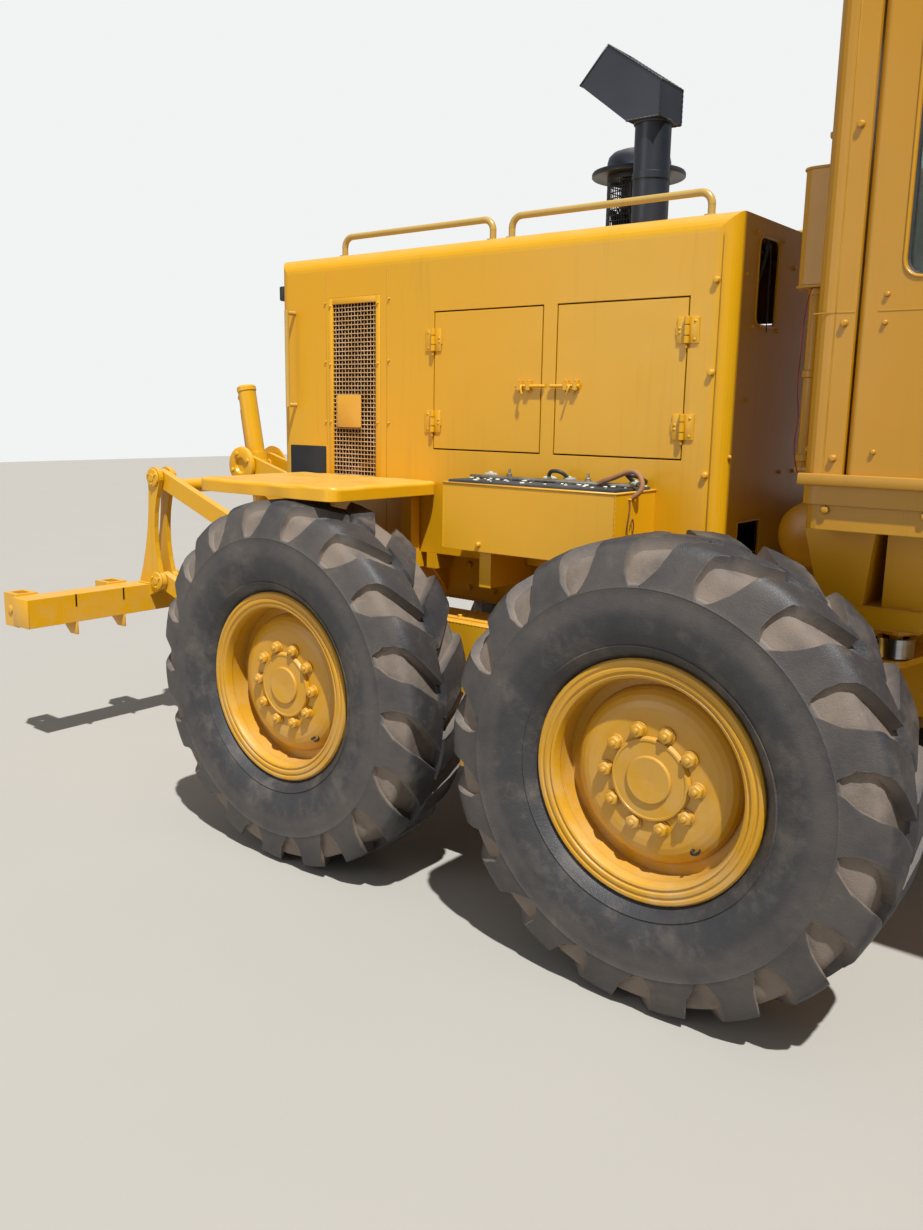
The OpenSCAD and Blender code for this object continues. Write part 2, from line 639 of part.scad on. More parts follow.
// Arm with the yoke that carries a lift cylinder's trunnion
yoke_in = 100;
yoke_t = 35;
module lift_arm() {
    x = lift_root[0];
    z = lift_root[2];
    box([x - 110, 0, arch_z1 - 60], [x + 110, lift_y - yoke_in, arch_z1 + 60]);
    for (y = [lift_y - yoke_in - yoke_t, lift_y + yoke_in]) difference() {
        side_plate(y, y + yoke_t) polygon(concat([[x + 190, arch_z1 - 60], [x + 190, arch_z1 + 60]],
            arc([x, z], 70, 40, 180, 8), [[x - 70, arch_z1 - 60]]));
        bar_y(y - 1, y + yoke_t + 1, x, z, trunnion_r + run_fit);
    }
    box([x + 130, lift_y - yoke_in - 1, arch_z1 - 60], [x + 190, lift_y + yoke_in + 1, arch_z1 + 60]);
}
// Socket of the drawbar's ball, under the frame's nose
ball_r = 62;
module ball_socket() difference() {
    box([ball_x + 10, -110, ball_z - 100], [nose_x0 + 1, 110, ball_z + 100]);
    bar_y(-ball_r - seat_gap, ball_r + seat_gap, ball_x, ball_z, ball_r + seat_gap);
}

// Cab: skirt, floor, walls with cut windows and doorways, roof
win_r = 40;
module cab_outline(grow = 0) polygon(round_rect([cab_rear - grow, -cab_half - grow], [cab_front + grow, cab_half + grow],
    50 + max(grow, -40), 6));
module cab_shell() placed() color(yellow) {
    flat_plate(skirt_z, floor_z0 - 25) polygon(round_rect([cab_rear + 12, -cab_half + 12], [cab_front - 12, cab_half - 12], 40, 4));
    difference() {
        union() {
            flat_plate(floor_z0 - 26, roof_z0 + 1) cab_outline();
            flat_plate(roof_z0, cab_top) cab_outline(30);
        }
        flat_plate(floor_z1, roof_z0) cab_outline(-cab_wall);
        both_sides() {
            box([cab_door_x0 - move_gap, cab_half - 120, floor_z1], [cab_door_x1 + move_gap, cab_half + 1, cab_door_z1 + move_gap]);
            for (z = [floor_z1 - pintle_h, cab_door_z1 + 2]) bar_z(z, z + pintle_h + 4, cab_hinge[0], cab_hinge[1], pintle_r + run_fit);
            side_plate(cab_half - 120, cab_half + 1)
                polygon(round_rect([cab_door_x1 + 90, 1720], [cab_front - 110, cab_door_z1], win_r, 4));
        }
        cross_plate(cab_rear - 1, cab_rear + 120) polygon(round_rect([-560, 2450], [560, 3120], win_r, 4));
        cross_plate(cab_front - 120, cab_front + 1) polygon(round_rect([-650, 2080], [650, 3160], win_r, 4));
        both_sides() cross_plate(cab_front - 120, cab_front + 1)
            polygon(round_rect([170, 1640], [650, 2000], win_r, 4));
    }
}
glass_t = 8;
module cab_glass() placed() color(glass) {
    g = seat_gap;
    mid = cab_wall / 2;
    both_sides() side_plate(cab_half - mid - glass_t / 2, cab_half - mid + glass_t / 2)
        polygon(round_rect([cab_door_x1 + 90 + g, 1720 + g], [cab_front - 110 - g, cab_door_z1 - g], win_r, 4));
    cross_plate(cab_rear + mid - glass_t / 2, cab_rear + mid + glass_t / 2)
        polygon(round_rect([-560 + g, 2450 + g], [560 - g, 3120 - g], win_r, 4));
    cross_plate(cab_front - mid - glass_t / 2, cab_front - mid + glass_t / 2)
        polygon(round_rect([-650 + g, 2080 + g], [650 - g, 3160 - g], win_r, 4));
    both_sides() cross_plate(cab_front - mid - glass_t / 2, cab_front - mid + glass_t / 2)
        polygon(round_rect([170 + g, 1640 + g], [650 - g, 2000 - g], win_r, 4));
}
// Cab door, drawn on the left: its hinge edge is round about the pintles
module cab_door() placed() color(yellow) difference() {
    union() {
        box([cab_hinge[0], cab_half - cab_wall, cab_door_z0], [cab_door_x1, cab_half, cab_door_z1]);
        bar_z(cab_door_z0, cab_door_z1, cab_hinge[0], cab_hinge[1], cab_wall / 2);
        bar_z(cab_door_z0 - pintle_h, cab_door_z1 + pintle_h, cab_hinge[0], cab_hinge[1], pintle_r);
        door_handle();
    }
    side_plate(cab_half - cab_wall - 1, cab_half + 1)
        polygon(round_rect([cab_door_x0 + window_edge, sill_z], [cab_door_x1 - 85, cab_door_z1 - 90], win_r, 4));
}
module door_handle() {
    x = cab_door_x1 - 60;
    for (z = [1900, 2010]) bar_y(cab_half - 1, cab_half + 40, x, z, 7);
    bar_z(1893, 2017, x, cab_half + 40, 8);
}

// Inside the cab: console, steering column and wheel, lever banks, floor mat
wheel_at = [cab_front - 350, 0, 2290];
module cab_interior() placed() color(black) {
    x = wheel_at[0];
    side_plate(-150, 150) polygon([[x + 80, floor_z1], [x + 290, floor_z1], [x + 290, 2060], [x + 150, 2120],
        [x + 30, 2080], [x + 110, 1980]]);
    strut([x + 90, 0, 2060], wheel_at, 28);
    translate(wheel_at) rotate([0, -35, 0]) {
        rotate_extrude() translate([205, 0]) circle(r = 14);
        for (a = [30, 150, 270]) rotate([0, 0, a]) translate([0, -14, -5]) cube([205, 28, 10]);
        translate([0, 0, -18]) cylinder(h = 36, r = 40);
    }
    both_sides() {
        box([x, 160, 2000], [x + 210, 420, 2060]);
        for (i = [0 : 3]) strut([x + 90, 195 + i * 60, 2058], [x + 30, 195 + i * 60, 2330], 7);
        box([x + 110, 380, floor_z1], [x + 170, 420, 2001]);
    }
}
module seat() placed() color(black) {
    x = 1560;
    box([x - 170, -190, floor_z1], [x + 190, 190, 1790]);
    side_plate(-250, 250) polygon(round_rect([x - 230, 1790], [x + 270, 1920], 45, 5));
    translate([x - 190, 0, 1915]) rotate([0, -12, 0]) side_plate(-240, 240) polygon(round_rect([-60, 0], [50, 620], 45, 5));
}

// Flat tank behind the cab and the round air reservoir under it
module hydraulic_tank() placed() color(yellow) {
    flat_plate(2050, 2370) polygon(round_rect([cab_rear - 118, -600], [cab_rear - seat_gap, 600], 35, 5));
    bar_z(2370, 2392, cab_rear - 60, -420, 38);
    bar_y(-330, 330, cab_rear - 108, 1320, 105);
    for (y = [-200, 200]) box([cab_rear - 60, y - 20, 1215], [cab_rear + 12, y + 20, skirt_z + 20]);
}
module lamps() placed() color(steel) {
    both_sides() {
        for (e = [[cab_front - 60, 0, cab_top], [cab_rear + 60, 180, cab_top]])
            translate([e[0], cab_half - 110, e[2]]) rotate([0, 0, e[1]]) {
                cylinder(h = 40, r = 14);
                translate([-45, 0, 95]) rotate([0, 90, 0]) cylinder(h = 90, r = 62);
            }
        translate([nose_x0 - 60, frame_half, 1330]) {
            rotate([-90, 0, 0]) cylinder(h = 75, r = 16);
            translate([-40, 140, 0]) rotate([0, 90, 0]) cylinder(h = 95, r = 85);
        }
    }
}

// Front axle: beam, pivot ears for the lean brackets, lean cylinder root
bracket_half = 52;
ear_t = 34;
axle_half = bracket_half + move_gap + ear_t;
lean_pin_r = 24;
module front_axle() placed() color(yellow) {
    x = wheelbase;
    difference() {
        union() {
            box([x - axle_half, -lean_y + 80, lean_z - 60], [x + axle_half, lean_y - 80, lean_z + 60]);
            side_plate(-180, 180) polygon([[x - 110, lean_z + 20], [x + 80, lean_z + 20], [x + 80, nose_z0], [x - 110, nose_z0]]);
            both_sides() for (x0 = [x - bracket_half - move_gap - ear_t, x + bracket_half + move_gap])
                cross_plate(x0, x0 + ear_t) polygon(concat(arc([lean_y, lean_z], 46, -90, 90, 10),
                    [[lean_y - 130, lean_z + 60], [lean_y - 130, lean_z - 60]]));
        }
    }
    both_sides() bar_x(x - bracket_half - 39, x + bracket_half + 39, lean_y, lean_z, lean_pin_r);
    lean_root_lug();
}
module lean_root_lug() {
    x = wheelbase;
    y = lean_root[1];
    box([x + 40, y - 45, lean_z - 50], [x + 79, y + 45, lean_root[2] + 45]);
    bar_x(x + 78, lean_root[0] + 30, y, lean_root[2], 24);
}
// Lean bracket, drawn on the left: lean pivot, kingpin boss, arm to the lean bar
kingpin_boss = 52;
knuckle_lo = 515;
knuckle_hi = 820;
knuckle_t = 36;
module lean_bracket(cylinder_side) placed() color(yellow) difference() {
    x = wheelbase;
    union() {
        bar_x(x - bracket_half, x + bracket_half, lean_y, lean_z, 54);
        bar_z(knuckle_lo + knuckle_t + move_gap, knuckle_hi - knuckle_t - move_gap, x, kingpin_y, kingpin_boss);
        box([x - 48, lean_y, lean_z - 54], [x + 48, kingpin_y, lean_z + 54]);
        box([x - 48, lean_y - 45, lean_z], [x + 48, kingpin_y - 10, 770]);
        box([x - 48, lean_y - 45, 740], [x + 95, lean_y + 40, lean_z + lean_arm + 45]);
        bar_x(x + 94, lean_plane_x + 30, lean_y, lean_z + lean_arm, lean_pin_r);
        if (cylinder_side) bar_x(x + 94, lean_plane_x + 32, lean_eye[1], lean_eye[2], 18);
    }
    bar_x(x - 100, x + 98, lean_y, lean_z, lean_pin_r + run_fit);
    bar_z(400, 900, x, kingpin_y, kingpin_r + run_fit);
}
module lean_bar() placed() color(yellow) difference() {
    z = lean_z + lean_arm;
    x = lean_plane_x;
    union() {
        box([x - 18, -lean_y, z - 32], [x + 18, lean_y, z + 32]);
        for (s = [-1, 1]) bar_x(x - 18, x + 18, s * lean_y, z, 42);
    }
    bar_x(x - 30, x + 30, lean_y, z, lean_pin_r + run_fit);
    bar_x(x - 30, x + 30, -lean_y, z, lean_pin_r + 1);
}
// Knuckle, drawn on the left: kingpin, yoke, spindle and steering arm
module knuckle(pin_h) placed() color(yellow) {
    x = wheelbase;
    bar_z(knuckle_lo, knuckle_hi, x, kingpin_y, kingpin_r);
    for (z = [knuckle_lo, knuckle_hi - knuckle_t]) {
        bar_z(z, z + knuckle_t, x, kingpin_y, kingpin_boss);
        box([x - 38, kingpin_y, z], [x + 38, kingpin_y + 68, z + knuckle_t]);
    }
    box([x - 38, kingpin_y + 66, knuckle_lo], [x + 38, kingpin_y + 100, knuckle_hi]);
    bar_y(kingpin_y + 66, kingpin_y + 100, x, tyre_r, 95);
    bar_y(kingpin_y + 99, spindle_end, x, tyre_r, spindle_r);
    flat_plate(knuckle_lo, knuckle_lo + knuckle_t) polygon(concat([[x, kingpin_y - 40], [x, kingpin_y + 40]],
        arc([x - steer_arm, kingpin_y], 32, 90, 270, 8)));
    bar_z(knuckle_lo, knuckle_lo + knuckle_t + pin_h, x - steer_arm, kingpin_y, 12);
}
// The left end of the tie rod turns on the steering arm and holds the rod on a level pin
tie_z = 612;
module tie_rod_end() placed() color(steel) difference() {
    x = wheelbase - steer_arm;
    union() {
        bar_z(knuckle_lo + knuckle_t + 3, tie_z - 40, x, kingpin_y, 34);
        for (s = [-1, 1]) box([x + s * 26 - 6, kingpin_y - 20, tie_z - 41], [x + s * 26 + 6, kingpin_y + 20, tie_z + 20]);
        bar_x(x - 32, x + 32, kingpin_y, tie_z, 10);
    }
    bar_z(knuckle_lo, tie_z - 39, x, kingpin_y, 12 + run_fit);
}
module tie_rod() placed() color(steel) {
    x = wheelbase - steer_arm;
    difference() {
        union() {
            bar_x(x - 15, x + 15, kingpin_y, tie_z, 20);
            bar_y(-kingpin_y + 45, kingpin_y - 16, x, tie_z, 17);
            bar_z(tie_z - 24, tie_z + 24, x, -kingpin_y, 54);
        }
        bar_x(x - 20, x + 20, kingpin_y, tie_z, 10 + run_fit);
        bar_z(tie_z - 30, tie_z + 12, x, -kingpin_y, 40);
    }
}
// Cylinders: a barrel with its bore and collar, and a rod with its eye, drawn from the root along +Z
module barrel(z0, z1, r, rod_r, collar = 0, collar_r = 1) difference() {
    union() {
        translate([0, 0, z0]) cylinder(h = z1 - z0, r = r);
        if (collar > 0) translate([0, 0, -collar]) cylinder(h = 2 * collar, r = collar_r);
    }
    translate([0, 0, z0 + 20]) cylinder(h = z1 - z0, r = rod_r + 0.3);
}
module lean_barrel() placed() color(yellow) aim(lean_root, lean_eye) difference() {
    union() {
        barrel(30, 640, 36, 18);
        rotate([90, 0, 0]) translate([0, 0, -26]) cylinder(h = 52, r = 42);
    }
    rotate([90, 0, 0]) cylinder(h = 60, r = 24 + run_fit, center = true);
}
module lean_rod() placed() color(steel) aim(lean_root, lean_eye) {
    len = norm(lean_eye - lean_root);
    difference() {
        union() {
            translate([0, 0, 480]) cylinder(h = len - 480, r = 18);
            translate([0, 0, len]) rotate([90, 0, 0]) cylinder(h = 44, r = 44, center = true);
        }
        translate([0, 0, len]) rotate([90, 0, 0]) cylinder(h = 60, r = 18 + lean_drift, center = true);
    }
}
module articulation_barrel() placed() color(yellow) aim(art_root, art_eye) difference() {
    union() {
        barrel(28, 490, 40, 23);
        rotate([0, 90, 0]) cylinder(h = 88, r = 36, center = true);
    }
    rotate([0, 90, 0]) cylinder(h = 100, r = art_pin_r + run_fit, center = true);
}
module articulation_rod() placed() color(steel) aim(art_root, art_eye) {
    len = norm(art_eye - art_root);
    difference() {
        union() {
            translate([0, 0, 250]) cylinder(h = len - 250 - 40, r = 23);
            translate([0, 0, len]) rotate([0, 90, 0]) cylinder(h = 56, r = 54, center = true);
        }
        translate([0, 0, len]) rotate([0, 90, 0]) cylinder(h = 70, r = art_pin_r + art_drift, center = true);
    }
}
module lift_barrels() placed() both_sides() color(yellow) aim(lift_root, lift_foot) {
    barrel(-640, 480, 58, 30, 70, 72);
    translate([0, 0, -660]) cylinder(h = 30, r = 50);
    for (s = [-1, 1]) rotate([90, 0, 0]) translate([0, 0, s > 0 ? 60 : -140]) cylinder(h = 80, r = trunnion_r);
}
module lift_rods() placed() both_sides() color(steel) aim(lift_root, lift_foot) {
    len = norm(lift_foot - lift_root);
    difference() {
        union() {
            translate([0, 0, -230]) cylinder(h = len + 230 - 40, r = 30);
            translate([0, 0, len]) rotate([90, 0, 0]) cylinder(h = 64, r = 50, center = true);
        }
        translate([0, 0, len]) rotate([90, 0, 0]) cylinder(h = 70, r = lift_pin_r + lift_drift, center = true);
    }
}

// Drawbar: ball, beam, two spreading arms, cross beam with the lift pins, circle drive
module drawbar() placed() color(yellow) {
    z0 = drawbar_z0;
    z1 = drawbar_z0 + drawbar_t;
    translate([ball_x, 0, ball_z]) sphere(r = ball_r);
    side_plate(-60, 60) polygon([[ball_x - 20, ball_z - 45], [ball_x - 20, ball_z + 45], 
        [circle_x + 1280, z1], [circle_x + 780, z1], [circle_x + 780, z0], [circle_x + 1280, z0 - 60]]);
    difference() {
        translate([circle_x, 0, 0]) {
            flat_plate(z0, z1) polygon([[1330, -70], [1330, 70], [140, 560], [0, 600], [-240, 600],
                [-240, -600], [0, -600], [140, -560]]);
            flat_plate(z0 - 1, z1 + 1) polygon([[680, -150], [680, 150], [140, 370], [140, -370]]);
            flat_plate(z0 - 1, z1 + 1) polygon([[-170, -380], [0, -380], [0, 380], [-170, 380]]);
        }
        both_sides() bar_y(lift_y - 37, lift_y + 37, lift_foot[0], lift_foot[2], 58);
    }
    both_sides() lift_pin();
    both_sides() circle_shoes();
    circle_drive();
}
// Shoes that hold the circle by its inner flange, with wear pads on top of the ring
module circle_shoes() for (a = [27, 111]) translate([circle_x, 0, 0]) rotate([0, 0, a]) {
    box([flange_in - 45, -45, ring_z1 - flange_t - 30], [flange_in - seat_gap - 2.5, 45, drawbar_z0 + 1]);
    box([flange_in - 45, -45, ring_z1 - flange_t - 30], [flange_in + 32, 45, ring_z1 - flange_t - seat_gap]);
    box([flange_in + 8, -45, ring_z1 + seat_gap], [circle_r - 30, 45, drawbar_z0 + 1]);
}
module circle_drive() {
    box([drive_x - 160, -200, drawbar_z0], [drive_x + 160, 200, drawbar_z0 + 30]);
    bar_z(drawbar_z0 + 29, drawbar_z0 + 170, drive_x, 0, 105);
    bar_z(drawbar_z0 + 169, drawbar_z0 + 260, drive_x, 0, 60);
}
module lift_pin() {
    x = lift_foot[0];
    z = lift_foot[2];
    for (y = [lift_y - 62, lift_y + 38]) side_plate(y, y + 24) polygon(concat([[x + 60, drawbar_z0], [x + 60, z]],
        arc([x, z], 48, 20, 200, 8), [[x - 60, drawbar_z0]]));
    bar_y(lift_y - 62, lift_y + 62, x, z, lift_pin_r);
}
// Circle: the ring, its side arms and the side-shift barrel
module circle_ring() difference() {
    bar_z(ring_z0, ring_z1, circle_x, 0, circle_r);
    bar_z(ring_z0 - 1, ring_z1 - flange_t, circle_x, 0, circle_r - ring_w);
    bar_z(ring_z0 - 1, ring_z1 + 1, circle_x, 0, flange_in);
}
module turn_circle() placed() color(yellow) {
    circle_ring();
    difference() {
        both_sides() {
            side_plate(arm_y, arm_y + arm_w) polygon([[circle_x - 300, ring_z0 + 1], [circle_x + 300, ring_z0 + 1], [circle_x + 220, 800],
                [blade_x - 40, 620], [blade_x - 45, 160], [blade_x - 100, 150],
                    [blade_x - 200, 240], [blade_x - 220, 620]]);
            for (z = slide_z)
                box([blade_x - 130, arm_y - 60, z - 38], [blade_x - 22, arm_y + arm_w + 60, z + slide_h + 38]);
        }
        both_sides() for (z = slide_z) {
            box([blade_x - 97, arm_y - 80, z - 3], [blade_x - 59, arm_y + arm_w + 80, z + slide_h + 3]);
            box([blade_x - 60, arm_y - 80, z + 7], [blade_x, arm_y + arm_w + 80, z + slide_h - 7]);
        }
        bar_y(arm_y - 1, arm_y + arm_w + 1, shift_x, shift_z, shift_rod_r + 8);
        bar_y(-arm_y - arm_w - 1, 1 - arm_y, shift_x, shift_z, shift_rod_r + 17);
    }
    translate([shift_x, 0, shift_z]) rotate([-90, 0, 0]) translate([0, 0, -1150]) barrel(0, 1300, 42, shift_rod_r);
}
// Moldboard: a rolled plate with cutting edge, end bits, slide rails and the rod's lug
function blade_back(z) = blade_centre_x - sqrt(pow(blade_r + blade_t, 2) - pow(z - blade_mid_z, 2));
module blade_outline(r0, r1, a0, a1) polygon(concat(
    arc([blade_centre_x, blade_mid_z], r0, a0, a1, 14), arc([blade_centre_x, blade_mid_z], r1, a1, a0, 14)));
module moldboard() placed() color(yellow) {
    half_angle = asin(blade_h / 2 / (blade_r + blade_t));
    side_plate(-blade_len / 2, blade_len / 2) blade_outline(blade_r, blade_r + blade_t, 180 - half_angle, 180 + half_angle);
    for (z = slide_z) {
        box([blade_x - 92, slide_y[0], z + 2], [blade_x - 64, slide_y[1], z + slide_h - 2]);
        box([blade_x - 65, slide_y[0], z + 12],
            [max(blade_back(z + 12), blade_back(z + slide_h - 12)) + 8, slide_y[1], z + slide_h - 12]);
    }
    bar_y(-600, shift_lug_y + 15, shift_x, shift_z, shift_rod_r);
    box([shift_x - 32, shift_lug_y, shift_z - 32], [blade_back(shift_z) + 8, shift_lug_y + 32, shift_z + 32]);
}

// Ripper links, beam and cylinder
// Points between two places, on an edge that bows to the left by h
function bow(p, q, h, n = 6) = [for (i = [1 : n - 1]) let (t = i / n, m = [p[1] - q[1], q[0] - p[0]] / norm(q - p))
    p + (q - p) * t + m * h * 4 * t * (1 - t)];
module link_arm(z) difference() {
    p = [ripper_root_x, z];
    q = [ripper_back_x, z + link_dz];
    side_plate(ripper_y - ripper_link_w / 2, ripper_y + ripper_link_w / 2) union() {
        polygon(concat(arc(p, 44, -110, 70, 8), arc(q, 44, 70, 250, 8)));
    }
    for (e = [p, q]) bar_y(ripper_y - 30, ripper_y + 30, e[0], e[1], ripper_pin_r + run_fit);
}
module ripper_lower_link() placed() color(yellow) {
    both_sides() link_arm(ripper_z);
    bar_y(-ripper_y + 19, ripper_y - 19, -2190, ripper_z + 158, 38);
    both_sides() {
        side_plate(48, 72) polygon(concat([[-2220, ripper_z + 130], [-2190, ripper_z + 196]],
            arc([ripper_eye[0], ripper_eye[2]], 44, 90, -90, 8)));
    }
    bar_y(-72, 72, ripper_eye[0], ripper_eye[2], 24);
}
module ripper_upper_link() placed() color(yellow) {
    both_sides() link_arm(ripper_z + ripper_rise);
    bar_y(-ripper_y + 19, ripper_y - 19, -2420, ripper_z + ripper_rise + 240, 36);
}
module ripper_beam() placed() color(yellow) {
    box([beam_front - beam_s, -beam_half, beam_top - beam_s], [beam_front, beam_half, beam_top]);
    both_sides() for (y = [ripper_y - ripper_link_w / 2 - 5 - ripper_ear_w, ripper_y + ripper_link_w / 2 + 5])
        side_plate(y, y + ripper_ear_w) polygon(concat(
            arc([ripper_back_x, ripper_back_z + ripper_rise], 54, -30, 150, 10),
            bow([ripper_back_x - 47, ripper_back_z + ripper_rise + 27], [beam_front - 90, beam_top - 1], 34),
            [[beam_front - 90, beam_top - 1], [beam_front - 5, beam_top - 60]],
            arc([ripper_back_x, ripper_back_z], 50, -60, 60, 8),
            bow([ripper_back_x + 25, ripper_back_z + 43], [ripper_back_x + 47, ripper_back_z + ripper_rise - 27], 44)));
    both_sides() for (z = [ripper_back_z, ripper_back_z + ripper_rise])
        bar_y(ripper_y - 50, ripper_y + 50, ripper_back_x, z, ripper_pin_r);
    for (i = [-2 : 2]) difference() {
        y = i * (beam_half - 70) / 2;
        box([rear_x, y - 55, beam_top - beam_s - 15], [beam_front - beam_s + 1, y + 55, beam_top + 10]);
        box([rear_x + 20, y - 32, beam_top - beam_s - 20], [beam_front - beam_s - 20, y + 32, beam_top + 20]);
    }
}
module ripper_barrel() placed() color(yellow) aim(ripper_trunnion, ripper_eye) {
    barrel(-400, 330, 46, 26, 60, 58);
    for (s = [0, 1]) rotate([90, 0, 0]) translate([0, 0, s > 0 ? 40 : -93]) cylinder(h = 53, r = trunnion_r);
}
module ripper_rod() placed() color(steel) aim(ripper_trunnion, ripper_eye) {
    len = norm(ripper_eye - ripper_trunnion);
    difference() {
        union() {
            translate([0, 0, -60]) cylinder(h = len + 60 - 30, r = 26);
            translate([0, 0, len]) rotate([90, 0, 0]) cylinder(h = 84, r = 50, center = true);
        }
        translate([0, 0, len]) rotate([90, 0, 0]) cylinder(h = 90, r = 24 + 16.5, center = true);
    }
}

rear_frame();
engine();
hood();
grilles();
hood_rails();
exhaust_stack();
precleaner();
battery_box();
batteries();
fender_plates();
tandem_drive();
mirror([0, 1, 0]) leaf(rear_leaf_x, hinge_x_rear, 1);  // engine_door_right_rear
mirror([0, 1, 0]) leaf(front_leaf_x, hinge_x_front, -1);  // engine_door_right_front
leaf(rear_leaf_x, hinge_x_rear, 1);  // engine_door_left_rear
leaf(front_leaf_x, hinge_x_front, -1);  // engine_door_left_front
placed() at_wheel(-tandem_half, -1) tyre();  // tyre_right_rear
placed() at_wheel(tandem_half, -1) tyre();  // tyre_right_middle
placed() at_wheel(-tandem_half, 1) mirror([0, 1, 0]) tyre();  // tyre_left_rear
placed() at_wheel(tandem_half, 1) mirror([0, 1, 0]) tyre();  // tyre_left_middle
placed() at_wheel(-tandem_half, -1) wheel(hub_gap_y);  // wheel_right_rear
placed() at_wheel(tandem_half, -1) wheel(hub_gap_y);  // wheel_right_middle
placed() at_wheel(-tandem_half, 1) wheel(hub_gap_y);  // wheel_left_rear
placed() at_wheel(tandem_half, 1) wheel(hub_gap_y);  // wheel_left_middle
placed() at_wheel(wheelbase, -1) tyre();  // tyre_right_front
placed() at_wheel(wheelbase, 1) mirror([0, 1, 0]) tyre();  // tyre_left_front
placed() at_wheel(wheelbase, -1) wheel(kingpin_y + 105);  // wheel_right_front
placed() at_wheel(wheelbase, 1) wheel(kingpin_y + 105);  // wheel_left_front
main_frame();
cab_shell();
cab_glass();
cab_interior();
seat();
hydraulic_tank();
lamps();
front_axle();
mirror([0, 1, 0]) cab_door();  // cab_door_right
cab_door();  // cab_door_left
mirror([0, 1, 0]) lean_bracket(false);  // lean_bracket_right
lean_bracket(true);  // lean_bracket_left
lean_bar();
mirror([0, 1, 0]) knuckle(61);  // knuckle_right
knuckle(20);  // knuckle_left
tie_rod_end();
tie_rod();
lean_barrel();
lean_rod();
drawbar();
turn_circle();  // circle
moldboard();
lift_barrels();
lift_rods();
ripper_lower_link();
ripper_upper_link();
ripper_beam();
ripper_barrel();
ripper_rod();
mirror([0, 1, 0]) articulation_barrel();  // articulation_barrel_right
articulation_barrel();  // articulation_barrel_left
mirror([0, 1, 0]) articulation_rod();  // articulation_rod_right
articulation_rod();  // articulation_rod_left
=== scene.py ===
"""Dresses a packed motor grader: finishes for its solids, and the pieces that the solids leave out."""
import math
import random

import bmesh
import bpy
import numpy as np
from mathutils import Matrix, Vector, noise


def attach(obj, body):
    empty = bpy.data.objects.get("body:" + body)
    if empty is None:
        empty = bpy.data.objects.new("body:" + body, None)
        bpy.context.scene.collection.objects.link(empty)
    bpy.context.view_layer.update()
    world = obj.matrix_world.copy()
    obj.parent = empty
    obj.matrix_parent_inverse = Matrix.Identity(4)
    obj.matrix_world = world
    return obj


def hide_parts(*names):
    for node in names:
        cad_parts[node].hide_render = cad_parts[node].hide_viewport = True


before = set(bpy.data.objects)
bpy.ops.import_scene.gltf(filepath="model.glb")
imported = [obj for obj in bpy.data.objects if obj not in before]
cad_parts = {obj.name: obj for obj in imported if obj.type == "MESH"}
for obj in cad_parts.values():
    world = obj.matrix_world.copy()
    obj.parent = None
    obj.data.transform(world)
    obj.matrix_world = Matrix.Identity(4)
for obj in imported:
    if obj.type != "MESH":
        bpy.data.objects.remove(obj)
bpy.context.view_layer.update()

bl_info = {
    "name": "Motor grader dressing",
    "version": (1, 0, 0),
    "blender": (4, 5, 0),
    "location": "3D View > Sidebar > Grader",
    "description": "Tyres with treads, screens, batteries, hardware, glass and finishes for a motor grader",
    "category": "Object",
}

MM = 0.001
# The places below are in millimetres, counted along X from the middle of the tandem
TANDEM_X = -1.8725
HOOD_HALF = 530
HOOD_TOP = 2300
HOOD_FRONT = 650
HOOD_REAR = -1400
TRACK_HALF = 998
HUB_FACE = 95
TYRE_R = 685
STUD_R = 142.9
TANDEM_HALF = 755
FRONT_AXLE = 5920
HITCH = 850
RAIL_Y = 430
CASE_FACE = 775.5
CAB_HALF = 760
WHEELS = {"right_rear": (-TANDEM_HALF, -1), "right_middle": (TANDEM_HALF, -1),
          "left_rear": (-TANDEM_HALF, 1), "left_middle": (TANDEM_HALF, 1), "right_front": (FRONT_AXLE, -1),
          "left_front": (FRONT_AXLE, 1)}
# The machine's right side lies at -Y
SIDES = ((-1, "right"), (1, "left"))


def P(x, y, z):
    """A place in millimetres, as a vector in metres in the machine's frame."""
    return Vector((x * MM + TANDEM_X, y * MM, z * MM))


def linear(hex_colour):
    """An sRGB hex colour as linear RGBA."""
    parts = [int(hex_colour[i:i + 2], 16) / 255 for i in (1, 3, 5)]
    return tuple(c / 12.92 if c <= 0.04045 else ((c + 0.055) / 1.055) ** 2.4 for c in parts) + (1.0,)


# Modelling: every piece starts as a primitive or a section, and ends with its place in its mesh
def deselect():
    if bpy.context.mode != "OBJECT":
        bpy.ops.object.mode_set(mode="OBJECT")
    bpy.ops.object.select_all(action="DESELECT")


def pick(obj):
    deselect()
    obj.select_set(True)
    bpy.context.view_layer.objects.active = obj


def edit(obj):
    pick(obj)
    bpy.ops.object.mode_set(mode="EDIT")
    bpy.ops.mesh.select_all(action="SELECT")


def done():
    bpy.ops.object.mode_set(mode="OBJECT")


def settle(obj):
    pick(obj)
    bpy.ops.object.transform_apply(location=True, rotation=True, scale=True)
    return obj


def modify(obj, kind, **settings):
    """Adds one modifier and applies it."""
    pick(obj)
    step = obj.modifiers.new(kind.title(), kind)
    for key, value in settings.items():
        setattr(step, key, value)
    bpy.ops.object.modifier_apply(modifier=step.name)
    return obj


def soften(obj, width=3, segments=2, angle=32):
    """Rounds the hard edges, in millimetres, and shades the rest smooth."""
    if width:
        modify(obj, "BEVEL", width=width * MM, segments=segments, limit_method="ANGLE",
               angle_limit=math.radians(angle), use_clamp_overlap=True)
    pick(obj)
    bpy.ops.object.shade_smooth_by_angle(angle=math.radians(angle + 4))
    return obj


